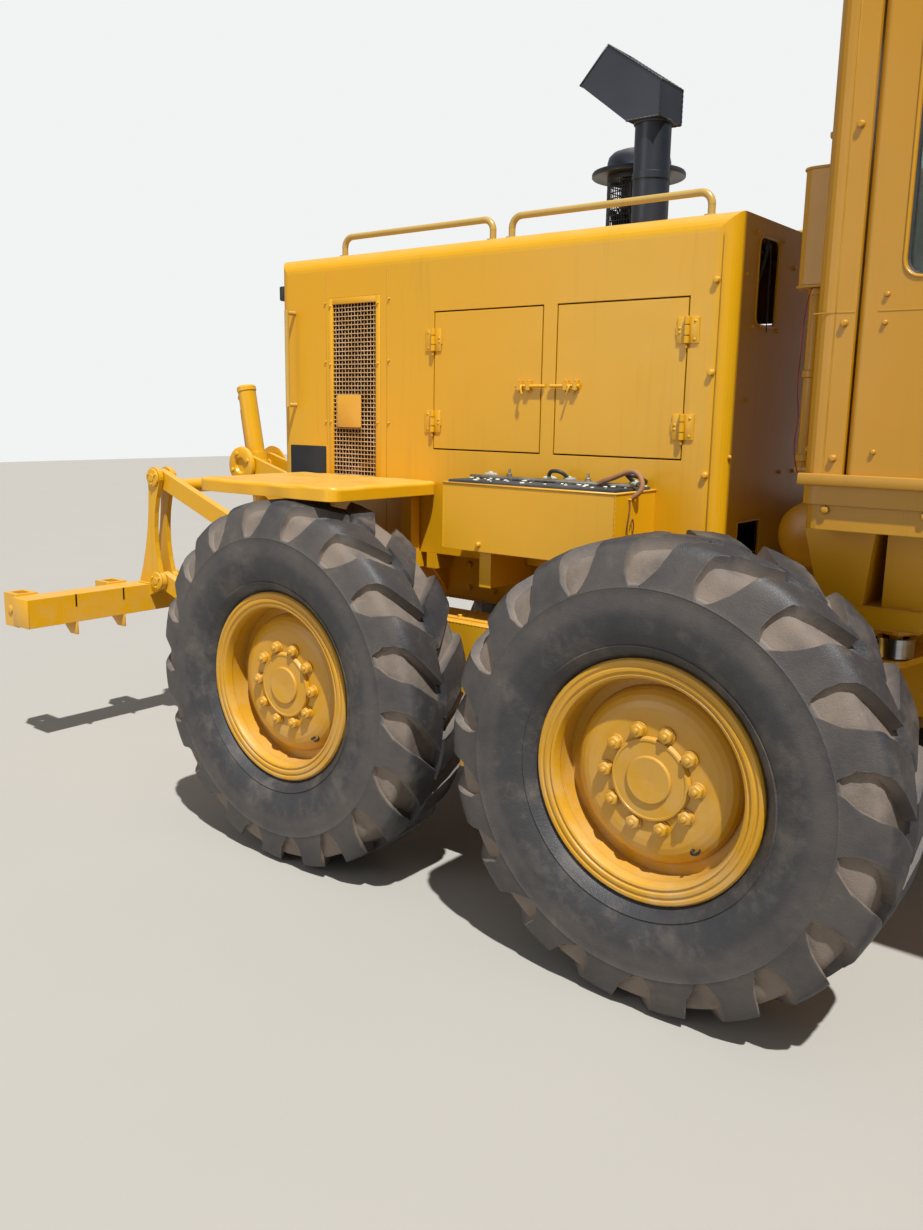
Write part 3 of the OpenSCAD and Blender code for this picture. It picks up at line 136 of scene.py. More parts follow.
def block(lo, hi, edge=3, segments=2):
    """A box between two opposite corners, in any order."""
    lo, hi = P(*map(min, lo, hi)), P(*map(max, lo, hi))
    bpy.ops.mesh.primitive_cube_add(size=1, location=(lo + hi) / 2)
    obj = bpy.context.object
    obj.scale = hi - lo
    return soften(settle(obj), edge, segments)


def rod(start, end, r, sides=20, edge=0, r2=None):
    """A round bar or cone between two places."""
    start, end = P(*start), P(*end)
    along = end - start
    bpy.ops.mesh.primitive_cone_add(vertices=sides, radius1=r * MM, radius2=(r if r2 is None else r2) * MM,
            depth=along.length, location=(start + end) / 2,
            rotation=along.to_track_quat("Z", "Y").to_euler())
    return soften(settle(bpy.context.object), edge, 2, 40)


def outline_plate(points, axis, low, high, edge=2):
    """A flat outline given in the two other axes, extruded along one axis between two levels."""
    low, high = sorted((low, high))
    place = {"x": lambda a, b, c: P(c, a, b), "y": lambda a, b, c: P(a, c, b),
             "z": lambda a, b, c: P(a, b, c)}[axis]
    mesh = bpy.data.meshes.new("plate")
    mesh.from_pydata([place(a, b, low) for a, b in points], [], [tuple(range(len(points)))])
    obj = bpy.data.objects.new("plate", mesh)
    bpy.context.collection.objects.link(obj)
    edit(obj)
    bpy.ops.mesh.extrude_region_move(TRANSFORM_OT_translate={"value": place(0, 0, high) - place(0, 0, low)})
    bpy.ops.mesh.select_all(action="SELECT")
    bpy.ops.mesh.normals_make_consistent(inside=False)
    done()
    return soften(obj, edge)


def lathe(section, centre, axis, steps=48, edge=0):
    """A section of (radius, height) pairs, spun about an axis through a place; the section is a closed loop
    or starts and ends on the axis."""
    axis = Vector(axis).normalized()
    side = axis.orthogonal().normalized()
    mesh = bpy.data.meshes.new("section")
    n = len(section)
    closed = section[0][0] > 0.001 or section[-1][0] > 0.001
    mesh.from_pydata([P(*centre) + side * r * MM + axis * h * MM for r, h in section],
            [(i, (i + 1) % n) for i in range(n if closed else n - 1)], [])
    obj = bpy.data.objects.new("lathe", mesh)
    bpy.context.collection.objects.link(obj)
    edit(obj)
    bpy.ops.mesh.spin(steps=steps, angle=2 * math.pi, center=P(*centre), axis=axis)
    bpy.ops.mesh.select_all(action="SELECT")
    bpy.ops.mesh.remove_doubles(threshold=0.00005)
    bpy.ops.mesh.normals_make_consistent(inside=False)
    done()
    return soften(obj, edge, 2, 30)


def smooth_path(points, step=0.02):
    """Points along a soft curve through the given ones, in metres."""
    pts = [Vector(p) for p in points]
    pts = [pts[0] * 2 - pts[1]] + pts + [pts[-1] * 2 - pts[-2]]
    out = []
    for a, b, c, d in zip(pts, pts[1:], pts[2:], pts[3:]):
        n = max(3, int((c - b).length / step))
        for i in range(n):
            t = i / n
            out.append(0.5 * ((2 * b) + (c - a) * t + (2 * a - 5 * b + 4 * c - d) * t * t
                    + (3 * b - a - 3 * c + d) * t ** 3))
    out.append(pts[-2])
    return out


def pipe(path, r, sides=10, closed=False, ripple=0.0):
    """A round bar along places in metres, as a mesh; a ripple makes it a weld bead."""
    curve = bpy.data.curves.new("pipe", "CURVE")
    curve.dimensions = "3D"
    curve.bevel_depth = r * MM
    curve.bevel_resolution = max(0, sides // 4 - 1)
    curve.use_fill_caps = True
    line = curve.splines.new("POLY")
    line.points.add(len(path) - 1)
    line.use_cyclic_u = closed
    for i, (point, place) in enumerate(zip(line.points, path)):
        point.co = (*place, 1)
        point.radius = 1 + ripple * math.sin(i * 1.9)
    obj = bpy.data.objects.new("pipe", curve)
    bpy.context.collection.objects.link(obj)
    pick(obj)
    bpy.ops.object.convert(target="MESH")
    obj = bpy.context.object
    bpy.ops.object.shade_smooth()
    return obj


def tube(points, r, sides=10, step=0.02):
    """A bent pipe or hose through places in millimetres."""
    return pipe(smooth_path([P(*p) for p in points], step), r, sides)


def cord(points, r, sides=10, step=0.02):
    """A hose or wire through places in millimetres. Returns it and its path."""
    path = smooth_path([P(*p) for p in points], step)
    return pipe(path, r, sides), path


def weld(points, r=4.5):
    """A bead of weld along places in millimetres."""
    corners = [P(*p) for p in points]
    path = []
    for a, b in zip(corners, corners[1:]):
        n = max(2, int((b - a).length / 0.005))
        path += [a.lerp(b, i / n) for i in range(n)]
    return pipe(path + [corners[-1]], r, 6, ripple=0.22)


def rounded(lo, hi, r, n=5):
    """The corners of a rectangle with round corners, in two axes."""
    out = []
    for cx, cy, start in ((hi[0] - r, hi[1] - r, 0), (lo[0] + r, hi[1] - r, 90),
            (lo[0] + r, lo[1] + r, 180), (hi[0] - r, lo[1] + r, 270)):
        for i in range(n + 1):
            a = math.radians(start + 90 * i / n)
            out.append((cx + r * math.cos(a), cy + r * math.sin(a)))
    return out


def on_plane(points, axis, level):
    order = {"x": lambda a, b: (level, a, b), "y": lambda a, b: (a, level, b),
             "z": lambda a, b: (a, b, level)}[axis]
    return [order(a, b) for a, b in points]


def surround(lo, hi, r, axis, level, thick):
    """A round strip along a rectangle with round corners, such as a window's rubber."""
    return pipe([P(*p) for p in on_plane(rounded(lo, hi, r), axis, level)], thick, 8, closed=True)


def join(name, parts):
    parts = [p for p in parts if p]
    deselect()
    for part in parts:
        part.select_set(True)
    bpy.context.view_layer.objects.active = parts[0]
    if len(parts) > 1:
        bpy.ops.object.join()
    obj = bpy.context.object
    obj.name = name
    obj.data.name = name
    return obj


def stamped(master, places):
    """Copies of a small piece drawn at the origin along +Z, each at (place, direction, size)."""
    copies = []
    for place, direction, size in places:
        copy = master.copy()
        copy.data = master.data.copy()
        bpy.context.collection.objects.link(copy)
        turn = Vector(direction).to_track_quat("Z", "Y").to_matrix().to_4x4()
        copy.data.transform(Matrix.Translation(P(*place)) @ turn @ Matrix.Scale(size, 4))
        copies.append(copy)
    return join("stamped", copies)


def bolted(bolt, way, size, places):
    """Like bolts that all point one way."""
    return stamped(bolt, [(place, way, size) for place in places])


def bolt_ring(bolt, centre, r, way, size, angles):
    """Bolts round a circle that faces along Y or Z."""
    x, y, z = centre
    spots = [(r * math.cos(a), r * math.sin(a)) for a in angles]
    places = [(x + u, y, z + v) if way[1] else (x + u, y + v, z) for u, v in spots]
    return bolted(bolt, way, size, places)


def even(count, start=0.0):
    """Angles in equal steps round a circle."""
    return [2 * math.pi * i / count + start for i in range(count)]


def about(turn, centre):
    """A turn about a place."""
    return Matrix.Translation(centre) @ turn @ Matrix.Translation(-centre)


def hex_bolt():
    """A hexagon head with a chamfered top on a washer, 10 mm across its radius, drawn at the origin."""
    bpy.ops.mesh.primitive_cylinder_add(vertices=20, radius=0.0125, depth=0.003, location=(0, 0, 0.0012))
    washer = bpy.context.object
    bpy.ops.mesh.primitive_cylinder_add(vertices=6, radius=0.0108, depth=0.008, location=(0, 0, 0.0066))
    head = bpy.context.object
    edit(head)
    bpy.ops.mesh.select_all(action="DESELECT")
    done()
    for face in head.data.polygons:
        face.select = face.normal.z > 0.9
    pick(head)
    bpy.ops.object.mode_set(mode="EDIT")
    bpy.ops.mesh.inset(thickness=0.0014)
    bpy.ops.transform.translate(value=(0, 0, 0.0012))
    done()
    settle(washer)
    settle(head)
    soften(head, 0.35, 1)
    return join("hex_bolt", [head, soften(washer, 0.4, 1)])


def finish(obj, name, body, material):
    obj.name = name
    obj.data.name = name
    obj.data.materials.clear()
    obj.data.materials.append(material)
    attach(obj, body)
    return obj


def fit(pieces, name, body, material):
    """Joins small pieces into one, and finishes it."""
    return finish(join(name, pieces), name, body, material)


# Materials
def add(tree, kind, settings=None, inputs=None):
    """Adds a node with its settings, and sets or links its inputs by name or number."""
    node = tree.nodes.new(kind)
    for key, value in (settings or {}).items():
        setattr(node, key, value)
    for key, value in (inputs or {}).items():
        if isinstance(value, bpy.types.NodeSocket):
            tree.links.new(value, node.inputs[key])
        else:
            node.inputs[key].default_value = value
    return node


def new_surface(name, **fixed):
    """A material with one shader, its steady values set on the shader's own sockets."""
    mat = bpy.data.materials.new(name)
    mat.use_nodes = True
    tree = mat.node_tree
    tree.nodes.clear()
    out = add(tree, "ShaderNodeOutputMaterial")
    shader = add(tree, "ShaderNodeBsdfPrincipled", None, {k.replace("_", " "): v for k, v in fixed.items()})
    tree.links.new(shader.outputs["BSDF"], out.inputs["Surface"])
    return mat, tree, shader


def mixed(tree, factor, a, b):
    return add(tree, "ShaderNodeMix", {"data_type": "RGBA"}, {"Factor": factor, 6: a, 7: b}).outputs[2]


def ranged(tree, value, low, high, to_low=0.0, to_high=1.0):
    return add(tree, "ShaderNodeMapRange", None,
               {"Value": value, "From Min": low, "From Max": high, "To Min": to_low,
                "To Max": to_high}).outputs["Result"]


def maths(tree, operation, a, b):
    return add(tree, "ShaderNodeMath", {"operation": operation}, {0: a, 1: b}).outputs[0]


def clouds(tree, place, scale, detail, rough=0.5):
    """Even noise from 0 to 1."""
    values = {"Vector": place, "Scale": scale, "Detail": detail, "Roughness": rough}
    return add(tree, "ShaderNodeTexNoise", None, values).outputs[0]


def enamel(name, colour, faded, dust="#B9A27C", rough=0.36, dusty=0.5, chipped=0.35, primer="#6B4A2B",
           soil=0.5, rounding=3.0):
    """Enamel on plate: nearly even colour, broad fading, dust on what faces up, thin runs of dirt, splashes
    near the ground and small chips down to brown primer at the edges."""
    mat, tree, shader = new_surface(name, IOR=1.5, Coat_Weight=0.12, Coat_Roughness=0.18)
    place = add(tree, "ShaderNodeTexCoord").outputs["Object"]
    geometry = add(tree, "ShaderNodeNewGeometry")
    broad = clouds(tree, place, 1.3, 4, 0.6)
    tone = mixed(tree, ranged(tree, broad, 0.38, 0.66), linear(colour), linear(faded))
    # Runs of dirt: noise that is long along Z, about 25 mm apart
    tall = add(tree, "ShaderNodeMapping", None, {"Vector": place, "Scale": (38, 38, 1.6)}).outputs[0]
    runs = clouds(tree, tall, 1, 3, 0.55)
    run_mask = maths(tree, "MULTIPLY", ranged(tree, runs, 0.56, 0.78),
            ranged(tree, broad, 0.42, 0.62, 0.0, 0.30 * dusty + 0.06))
    tone = mixed(tree, run_mask, tone, linear(primer))
    # Dust lies on faces that look up
    up = add(tree, "ShaderNodeSeparateXYZ", None, {0: geometry.outputs["Normal"]}).outputs["Z"]
    grain = clouds(tree, place, 9, 6, 0.65)
    top = maths(tree, "MULTIPLY", ranged(tree, up, 0.35, 0.95),
                ranged(tree, grain, 0.36, 0.62, 0.15, dusty))
    # Splashes below axle height
    height = add(tree, "ShaderNodeSeparateXYZ", None, {0: place}).outputs["Z"]
    low = maths(tree, "MULTIPLY", ranged(tree, height, 1.0, 0.1, 0.0, soil),
                ranged(tree, grain, 0.42, 0.60))
    dust_mask = maths(tree, "MAXIMUM", top, low)
    tone = mixed(tree, dust_mask, tone, linear(dust))
    # The edges, found by comparing the rounded normal with the flat one
    rounded = add(tree, "ShaderNodeBevel", {"samples": 4}, {"Radius": rounding * MM}).outputs[0]
    edge = add(tree, "ShaderNodeVectorMath", {"operation": "DOT_PRODUCT"},
               {0: rounded, 1: geometry.outputs["Normal"]}).outputs["Value"]
    fine = clouds(tree, place, 55, 5, 0.7)
    edge_mask = maths(tree, "MULTIPLY", ranged(tree, edge, 0.985, 0.90),
            ranged(tree, fine, 0.60, 0.66, 0.0, chipped))
    spot = ranged(tree, clouds(tree, place, 21, 8, 0.72), 0.735, 0.75, 0.0, chipped)
    chip = maths(tree, "MAXIMUM", edge_mask, spot)
    tone = mixed(tree, chip, tone, linear(primer))
    tree.links.new(tone, shader.inputs["Base Color"])
    matt = ranged(tree, maths(tree, "MAXIMUM", dust_mask, chip), 0.0, 0.8, rough, min(0.9, rough + 0.4))
    tree.links.new(maths(tree, "ADD", matt, ranged(tree, grain, 0.3, 0.7, -0.05, 0.07)),
            shader.inputs["Roughness"])
    # Orange peel about 6 mm across and dents as broad as a hand
    peel = clouds(tree, place, 150, 2)
    wave = clouds(tree, place, 3.2, 2)
    relief = add(tree, "ShaderNodeMath", {"operation": "MULTIPLY_ADD"},
                 {0: wave, 1: 14.0, 2: peel}).outputs[0]
    relief = maths(tree, "SUBTRACT", relief, maths(tree, "MULTIPLY", chip, 2.0))
    bump = add(tree, "ShaderNodeBump", None,
               {"Strength": 0.22, "Distance": 0.0009, "Height": relief, "Normal": rounded})
    tree.links.new(bump.outputs[0], shader.inputs["Normal"])
    return mat


def tyre_rubber():
    """Carbon-black rubber, moulded: bluish black where it is worn clean, brown soil in the grooves and a
    grey bloom on the side walls, with fine cracks about 4 mm apart."""
    mat, tree, shader = new_surface("Dusty_tyre_rubber", IOR=1.52)
    place = add(tree, "ShaderNodeTexCoord").outputs["Object"]
    groove = add(tree, "ShaderNodeAttribute", {"attribute_name": "groove"}).outputs["Fac"]
    grain = clouds(tree, place, 7, 8, 0.68)
    fine = clouds(tree, place, 60, 6, 0.7)
    tone = mixed(tree, ranged(tree, grain, 0.35, 0.65), linear("#29292D"), linear("#3B3937"))
    soil = maths(tree, "MULTIPLY", groove, ranged(tree, grain, 0.30, 0.55, 0.45, 0.95))
    film = maths(tree, "MAXIMUM", soil, ranged(tree, grain, 0.50, 0.72, 0.0, 0.38))
    tone = mixed(tree, film, tone, linear("#7A6D61"))
    tree.links.new(tone, shader.inputs["Base Color"])
    tree.links.new(ranged(tree, film, 0.0, 1.0, 0.55, 0.9), shader.inputs["Roughness"])
    cracks = add(tree, "ShaderNodeTexVoronoi", {"feature": "DISTANCE_TO_EDGE"},
                 {"Vector": place, "Scale": 110}).outputs["Distance"]
    relief = add(tree, "ShaderNodeMath", {"operation": "MULTIPLY_ADD"},
                 {0: ranged(tree, cracks, 0.0, 0.12), 1: 0.35, 2: fine}).outputs[0]
    bump = add(tree, "ShaderNodeBump", None, {"Strength": 0.5, "Distance": 0.0016, "Height": relief})
    tree.links.new(bump.outputs[0], shader.inputs["Normal"])
    return mat


def grained(name, dark, light, scale, rough, relief, spread=(0.36, 0.64), **fixed):
    """A plain finish with two tones and a fine grain; its scale is waves a metre."""
    mat, tree, shader = new_surface(name, **fixed)
    place = add(tree, "ShaderNodeTexCoord").outputs["Object"]
    grain = clouds(tree, place, scale, 6, 0.65)
    broad = add(tree, "ShaderNodeTexNoise", None,
                {"Vector": place, "Scale": scale * 0.12, "Detail": 3}).outputs[0]
    tone = mixed(tree, ranged(tree, broad, *spread), linear(dark), linear(light))
    tree.links.new(tone, shader.inputs["Base Color"])
    tree.links.new(ranged(tree, grain, 0.3, 0.7, rough - 0.08, rough + 0.08), shader.inputs["Roughness"])
    bump = add(tree, "ShaderNodeBump", None, {"Strength": relief, "Distance": 0.0006, "Height": grain})
    tree.links.new(bump.outputs[0], shader.inputs["Normal"])
    return mat


def woven_cloth():
    """Coarse upholstery cloth: threads 2.5 mm apart, over and under."""
    mat, tree, shader = new_surface("Woven_seat_cloth", Roughness=0.9, Sheen_Weight=0.25,
            Sheen_Roughness=0.5)
    place = add(tree, "ShaderNodeTexCoord").outputs["Object"]
    thread = {"Vector": place, "Scale": 62, "Distortion": 0.6, "Detail": 1}
    waves = [add(tree, "ShaderNodeTexWave", {"bands_direction": way}, thread).outputs[1] for way in "XYZ"]
    weave = maths(tree, "MULTIPLY", maths(tree, "MAXIMUM", waves[0], waves[2]), waves[1])
    tone = mixed(tree, weave, linear("#26282B"), linear("#4A4D52"))
    tree.links.new(tone, shader.inputs["Base Color"])
    bump = add(tree, "ShaderNodeBump", None, {"Strength": 0.5, "Distance": 0.0008, "Height": weave})
    tree.links.new(bump.outputs[0], shader.inputs["Normal"])
    return mat


def clear_pane():
    """Toughened cab glass with a faint green tint and a film of dust."""
    mat, tree, shader = new_surface("Dusty_cab_glass", IOR=1.5, Transmission_Weight=1.0)
    place = add(tree, "ShaderNodeTexCoord").outputs["Object"]
    film = clouds(tree, place, 3, 6, 0.7)
    tree.links.new(mixed(tree, film, linear("#C9D8D4"), linear("#A9B9B4")), shader.inputs["Base Color"])
    tree.links.new(ranged(tree, film, 0.4, 0.75, 0.03, 0.22), shader.inputs["Roughness"])
    return mat


def lamp_lens():
    """Pressed glass over a bright reflector, ribs 9 mm apart."""
    mat, tree, shader = new_surface("Ribbed_lamp_lens", IOR=1.5, Metallic=0.4, Coat_Weight=0.8,
            Coat_Roughness=0.05)
    place = add(tree, "ShaderNodeTexCoord").outputs["Object"]
    ribs = add(tree, "ShaderNodeTexWave", {"bands_direction": "Y"},
               {"Vector": place, "Scale": 35, "Distortion": 0.0}).outputs[1]
    tree.links.new(mixed(tree, ribs, linear("#B9BEC0"), linear("#E6E8E6")), shader.inputs["Base Color"])
    tree.links.new(ranged(tree, ribs, 0.0, 1.0, 0.12, 0.3), shader.inputs["Roughness"])
    bump = add(tree, "ShaderNodeBump", None, {"Strength": 0.4, "Distance": 0.001, "Height": ribs})
    tree.links.new(bump.outputs[0], shader.inputs["Normal"])
    return mat


YELLOW = enamel("Yellow_machine_enamel", "#D49906", "#CF9A10", dusty=0.34, chipped=0.3)
# The cab's enamel is the machine's same yellow painted darker: painted shade, for the shade that lies on the
# cab's faces.
CAB = enamel("Cab_enamel_darkened_as_painted_shade", "#B88108", "#B2800E", dusty=0.28, chipped=0.3)
# A yellow partly darker than the machine's, for the grilles and the small plate by the screen: painted
# shade, for the shade the grilles sit in.
SHADE = enamel("Grille_yellow_with_painted_shade", "#C48A18", "#D39C28", dusty=0.5, chipped=0.6, rough=0.45)
# The black itself is the paint's own; its blue tint is painted reflection of the sky on the black paint.
BLACK = enamel("Heat_black_enamel_with_painted_sky_reflection", "#1A1F28", "#272D38", dust="#8D8579", rough=0.42, dusty=0.5,
        chipped=0.8, primer="#5A3A26")
WORN = enamel("Worn_blade_steel", "#6E6A63", "#8A867E", dust="#A08A6A", rough=0.4, dusty=0.4, chipped=0.9,
              primer="#6B4328", soil=0.8)
# The wheels' yellow is painted darker than the hood's: painted shade of the recessed wheel discs.
HUB = enamel("Yellow_wheel_enamel_darkened_as_painted_shade", "#C08A0B", "#BA8815", dusty=0.3, chipped=0.45, primer="#9A6A3C",
             rounding=4)
RUBBER = tyre_rubber()
PLASTIC = grained("Moulded_black_plastic", "#1A1B1D", "#2B2C2E", 180, 0.5, 0.25, IOR=1.46)
GASKET = grained("Black_rubber_seal", "#151617", "#242424", 120, 0.7, 0.3, IOR=1.52)
CHROME = grained("Ground_rod_steel", "#8F9297", "#A7A9AB", 300, 0.22, 0.1, Metallic=1.0)
ZINC = grained("Zinc_plated_steel", "#A39D8E", "#7F7767", 90, 0.4, 0.3, Metallic=0.8)
LEAD = grained("Corroded_lead", "#8A8C86", "#C9CFC0", 70, 0.75, 0.8, Metallic=0.3)
RUST = grained("Rusted_iron", "#5B3A26", "#8A5D3B", 60, 0.85, 0.9, Metallic=0.2)
DUSTY_LID = grained("Dusty_battery_lid", "#1E2024", "#4A4B4E", 24, 0.7, 0.4)
LITTER = grained("Dry_litter", "#E9E6DA", "#B9C48E", 40, 0.9, 0.3)
HOSE = grained("Black_rubber_hose", "#1B1C1E", "#33322F", 150, 0.6, 0.4, IOR=1.52)
TAN_HOSE = grained("Old_cloth_hose", "#9A6E4B", "#6E4B33", 80, 0.85, 0.8)
DARK = grained("Sooty_engine_iron", "#2A2622", "#4A3D30", 30, 0.7, 0.7, Metallic=0.3)
FINS = grained("Dusty_cooler_fins", "#130E0C", "#2A1C14", 60, 0.8, 0.5, Metallic=0.3)
WIRES = grained("Sunned_screen_enamel", "#CDA87C", "#B58C56", 90, 0.55, 0.2)
# Seam lines in a darker yellow: painted shadow along the lapped sheet edges.
SEAM_SHADOW = grained("Seam_line_painted_shadow", "#A87A0C", "#B98A12", 60, 0.6, 0.4)
PLATE = grained("Satin_black_plate", "#0E0F11", "#1B1C1E", 40, 0.55, 0.15, IOR=1.45)
RED_LENS = grained("Moulded_red_lens", "#7A1512", "#93221A", 60, 0.25, 0.1, IOR=1.49, Coat_Weight=0.5)
RED_WIRE = grained("Red_wire_insulation", "#7E2A22", "#A04336", 200, 0.5, 0.1)
MIRROR = grained("Silvered_mirror", "#C9CCCE", "#BFC3C6", 4, 0.12, 0.02, Metallic=1.0)
RAILS = enamel("Tan_yellow_rail_enamel", "#AD8A3C", "#B6964C", dusty=0.3, chipped=0.6)
CLOTH = woven_cloth()
PANE = clear_pane()
LENS = lamp_lens()


# Sizes and colours that a user would change
class GraderSizes(bpy.types.PropertyGroup):
    lug_count: bpy.props.IntProperty(name="Lugs", description="Tread lugs on each side of a tyre",
            default=18, min=12, max=24)
    groove_depth: bpy.props.FloatProperty(name="Groove depth",
            description="Depth of the tread's grooves at its middle", default=0.036, min=0.01, max=0.06,
            unit="LENGTH")
    wire_pitch: bpy.props.FloatProperty(name="Wire pitch",
            description="Distance between the wires of the side screens", default=0.0168, min=0.01,
            max=0.04, unit="LENGTH")
    wire_thick: bpy.props.FloatProperty(name="Wire",
            description="Thickness of the wires of the side screens", default=0.0038, min=0.002, max=0.006,
            unit="LENGTH")
    dent_depth: bpy.props.FloatProperty(name="Dents", description="Depth of the dents in the fender pans",
            default=0.012, min=0.0, max=0.03, unit="LENGTH")
    floor_colour: bpy.props.FloatVectorProperty(name="Floor", description="Colour of the plain floor",
            subtype="COLOR", default=linear("#A19D95")[:3], min=0, max=1)
    sun_power: bpy.props.FloatProperty(name="Key light", description="Strength of the key light",
            default=5.6, min=0, max=10)


def sizes():
    return bpy.context.scene.grader_sizes


class GRADER_OT_stage(bpy.types.Operator):
    """Adds the pale floor, the lights and the camera at the photograph's viewing angle"""
    bl_idname = "grader.stage"
    bl_label = "Floor, lights and camera"

    def execute(self, context):
        scene = context.scene
        bpy.ops.mesh.primitive_plane_add(size=60, location=(0, 0, -0.002))
        floor = context.object
        floor.name = "floor"
        mat, tree, shader = new_surface("Plain_floor", Roughness=0.9)
        place = add(tree, "ShaderNodeTexCoord").outputs["Object"]
        tone = clouds(tree, place, 1.5, 3)
        pale = (*sizes().floor_colour, 1)
        tree.links.new(mixed(tree, tone, pale, tuple(c * 0.96 for c in pale[:3]) + (1,)),
                shader.inputs["Base Color"])
        floor.data.materials.append(mat)
        world = bpy.data.worlds.new("Soft_sky")
        scene.world = world
        world.use_nodes = True
        tree = world.node_tree
        tree.nodes.clear()
        out = add(tree, "ShaderNodeOutputWorld")
        rays = add(tree, "ShaderNodeLightPath")
        seen = maths(tree, "MAXIMUM", rays.outputs["Is Camera Ray"], rays.outputs["Is Transmission Ray"])
        dim = add(tree, "ShaderNodeBackground", None, {"Color": linear("#EEF2F8"), "Strength": 0.36})
        pale_sky = add(tree, "ShaderNodeBackground", None, {"Color": linear("#F2F3F3"), "Strength": 1.0})
        both = add(tree, "ShaderNodeMixShader", None, {0: seen, 1: dim.outputs[0], 2: pale_sky.outputs[0]})
        tree.links.new(both.outputs[0], out.inputs[0])
        lights = (("key", "SUN", (3.7, -2.9, 8.8), (0, 0, 0), sizes().sun_power, 0.02),
                  ("side_fill", "AREA", (-6, -10, 3.5), (-2, 0, 1.2), 150, 5.0))
        for name, kind, spot, aim, power, size in lights:
            light = bpy.data.lights.new(name, kind)
            light.energy = power
            if kind == "SUN":
                light.angle = size
            else:
                light.size = size
            lamp = bpy.data.objects.new(name, light)
            lamp.location = spot
            lamp.rotation_euler = (Vector(aim) - Vector(spot)).to_track_quat("-Z", "Y").to_euler()
            context.collection.objects.link(lamp)
        # The camera stands where the photographer stood; its focal length is 1024 of the picture's pixels
        view = bpy.data.cameras.new("camera")
        view.sensor_fit = "VERTICAL"
        view.sensor_height = 24
        view.lens = 24 * 1024.2 / 1230
        view.clip_start = 0.02
        camera = bpy.data.objects.new("camera", view)
        right = Vector((0.7812, 0.6241, 0.0164))
        up = Vector((-0.1336, 0.1414, 0.9808))
        ahead = Vector((-0.6098, 0.7684, -0.1938))
        turn = Matrix((right, up, -ahead)).transposed()
        camera.matrix_world = Matrix.Translation((2.032 + TANDEM_X, -3.570, 1.685)) @ turn.to_4x4()
        context.collection.objects.link(camera)
        scene.camera = camera
        scene.view_settings.view_transform = "Standard"
        return {"FINISHED"}


# The blade is an arc about a line along Y, with the cutting edge on its front and bolts on its back
BLADE_CENTRE = (3765, 365)
EDGE_R = 412.6
BACK_R = 436


def arc(r, angle):
    """A place on the blade's section."""
    return BLADE_CENTRE[0] + r * math.cos(angle), BLADE_CENTRE[1] + r * math.sin(angle)


# Tyres
SECTION = [(685, 0), (685, 9), (685, 34), (685, 62), (685, 92), (684, 118), (681, 133), (674, 144),
           (662, 153), (645, 160), (626, 166), (606, 171), (588, 175.5), (570, 179.5), (556, 182),
           (552, 184.2), (548, 182.8), (528, 185.5), (500, 187.5), (470, 186.5), (440, 182.5), (414, 175),
           (394, 165), (390, 168), (382, 161), (370, 151), (362, 141), (356, 134), (351, 128), (333, 127),
           (306, 126.2)]
PITCH_COLUMNS = 16


def tread_column(j, half):
    """How far column j of a pitch lies from the middle of its groove, in millimetres."""
    side = 1 if j <= PITCH_COLUMNS // 2 else -1
    k = j if side > 0 else PITCH_COLUMNS - j
    pitch = 2 * math.pi * TYRE_R / sizes().lug_count
    near = [0, 0.6 * half, half, half + 7, half + 10]
    if k < len(near):
        return side * near[k]
    left = pitch / 2 - near[-1]
    return side * (near[-1] + left * (k - 4) / 4)


def tread_shape(w_run):
    """Half width, depth and slant of a groove at a distance along the section from the tread's middle."""
    half = np.interp(w_run, [0, 60, 118, 170, 225, 262, 275], [30, 40, 52, 58, 50, 22, 5])
    depth = np.interp(w_run, [0, 118, 150, 180, 225, 262, 272], [1.0, 1.0, 0.97, 0.88, 0.72, 0.42, 0.0])
    slant = np.interp(w_run, [0, 70, 150, 262, 300], [178, 112, 42, 0, -6])
    even = np.interp(w_run, [0, 1, 262, 290, 300, 340], [1, 0, 0, 0.6, 1, 1])
    return half, depth, slant, even


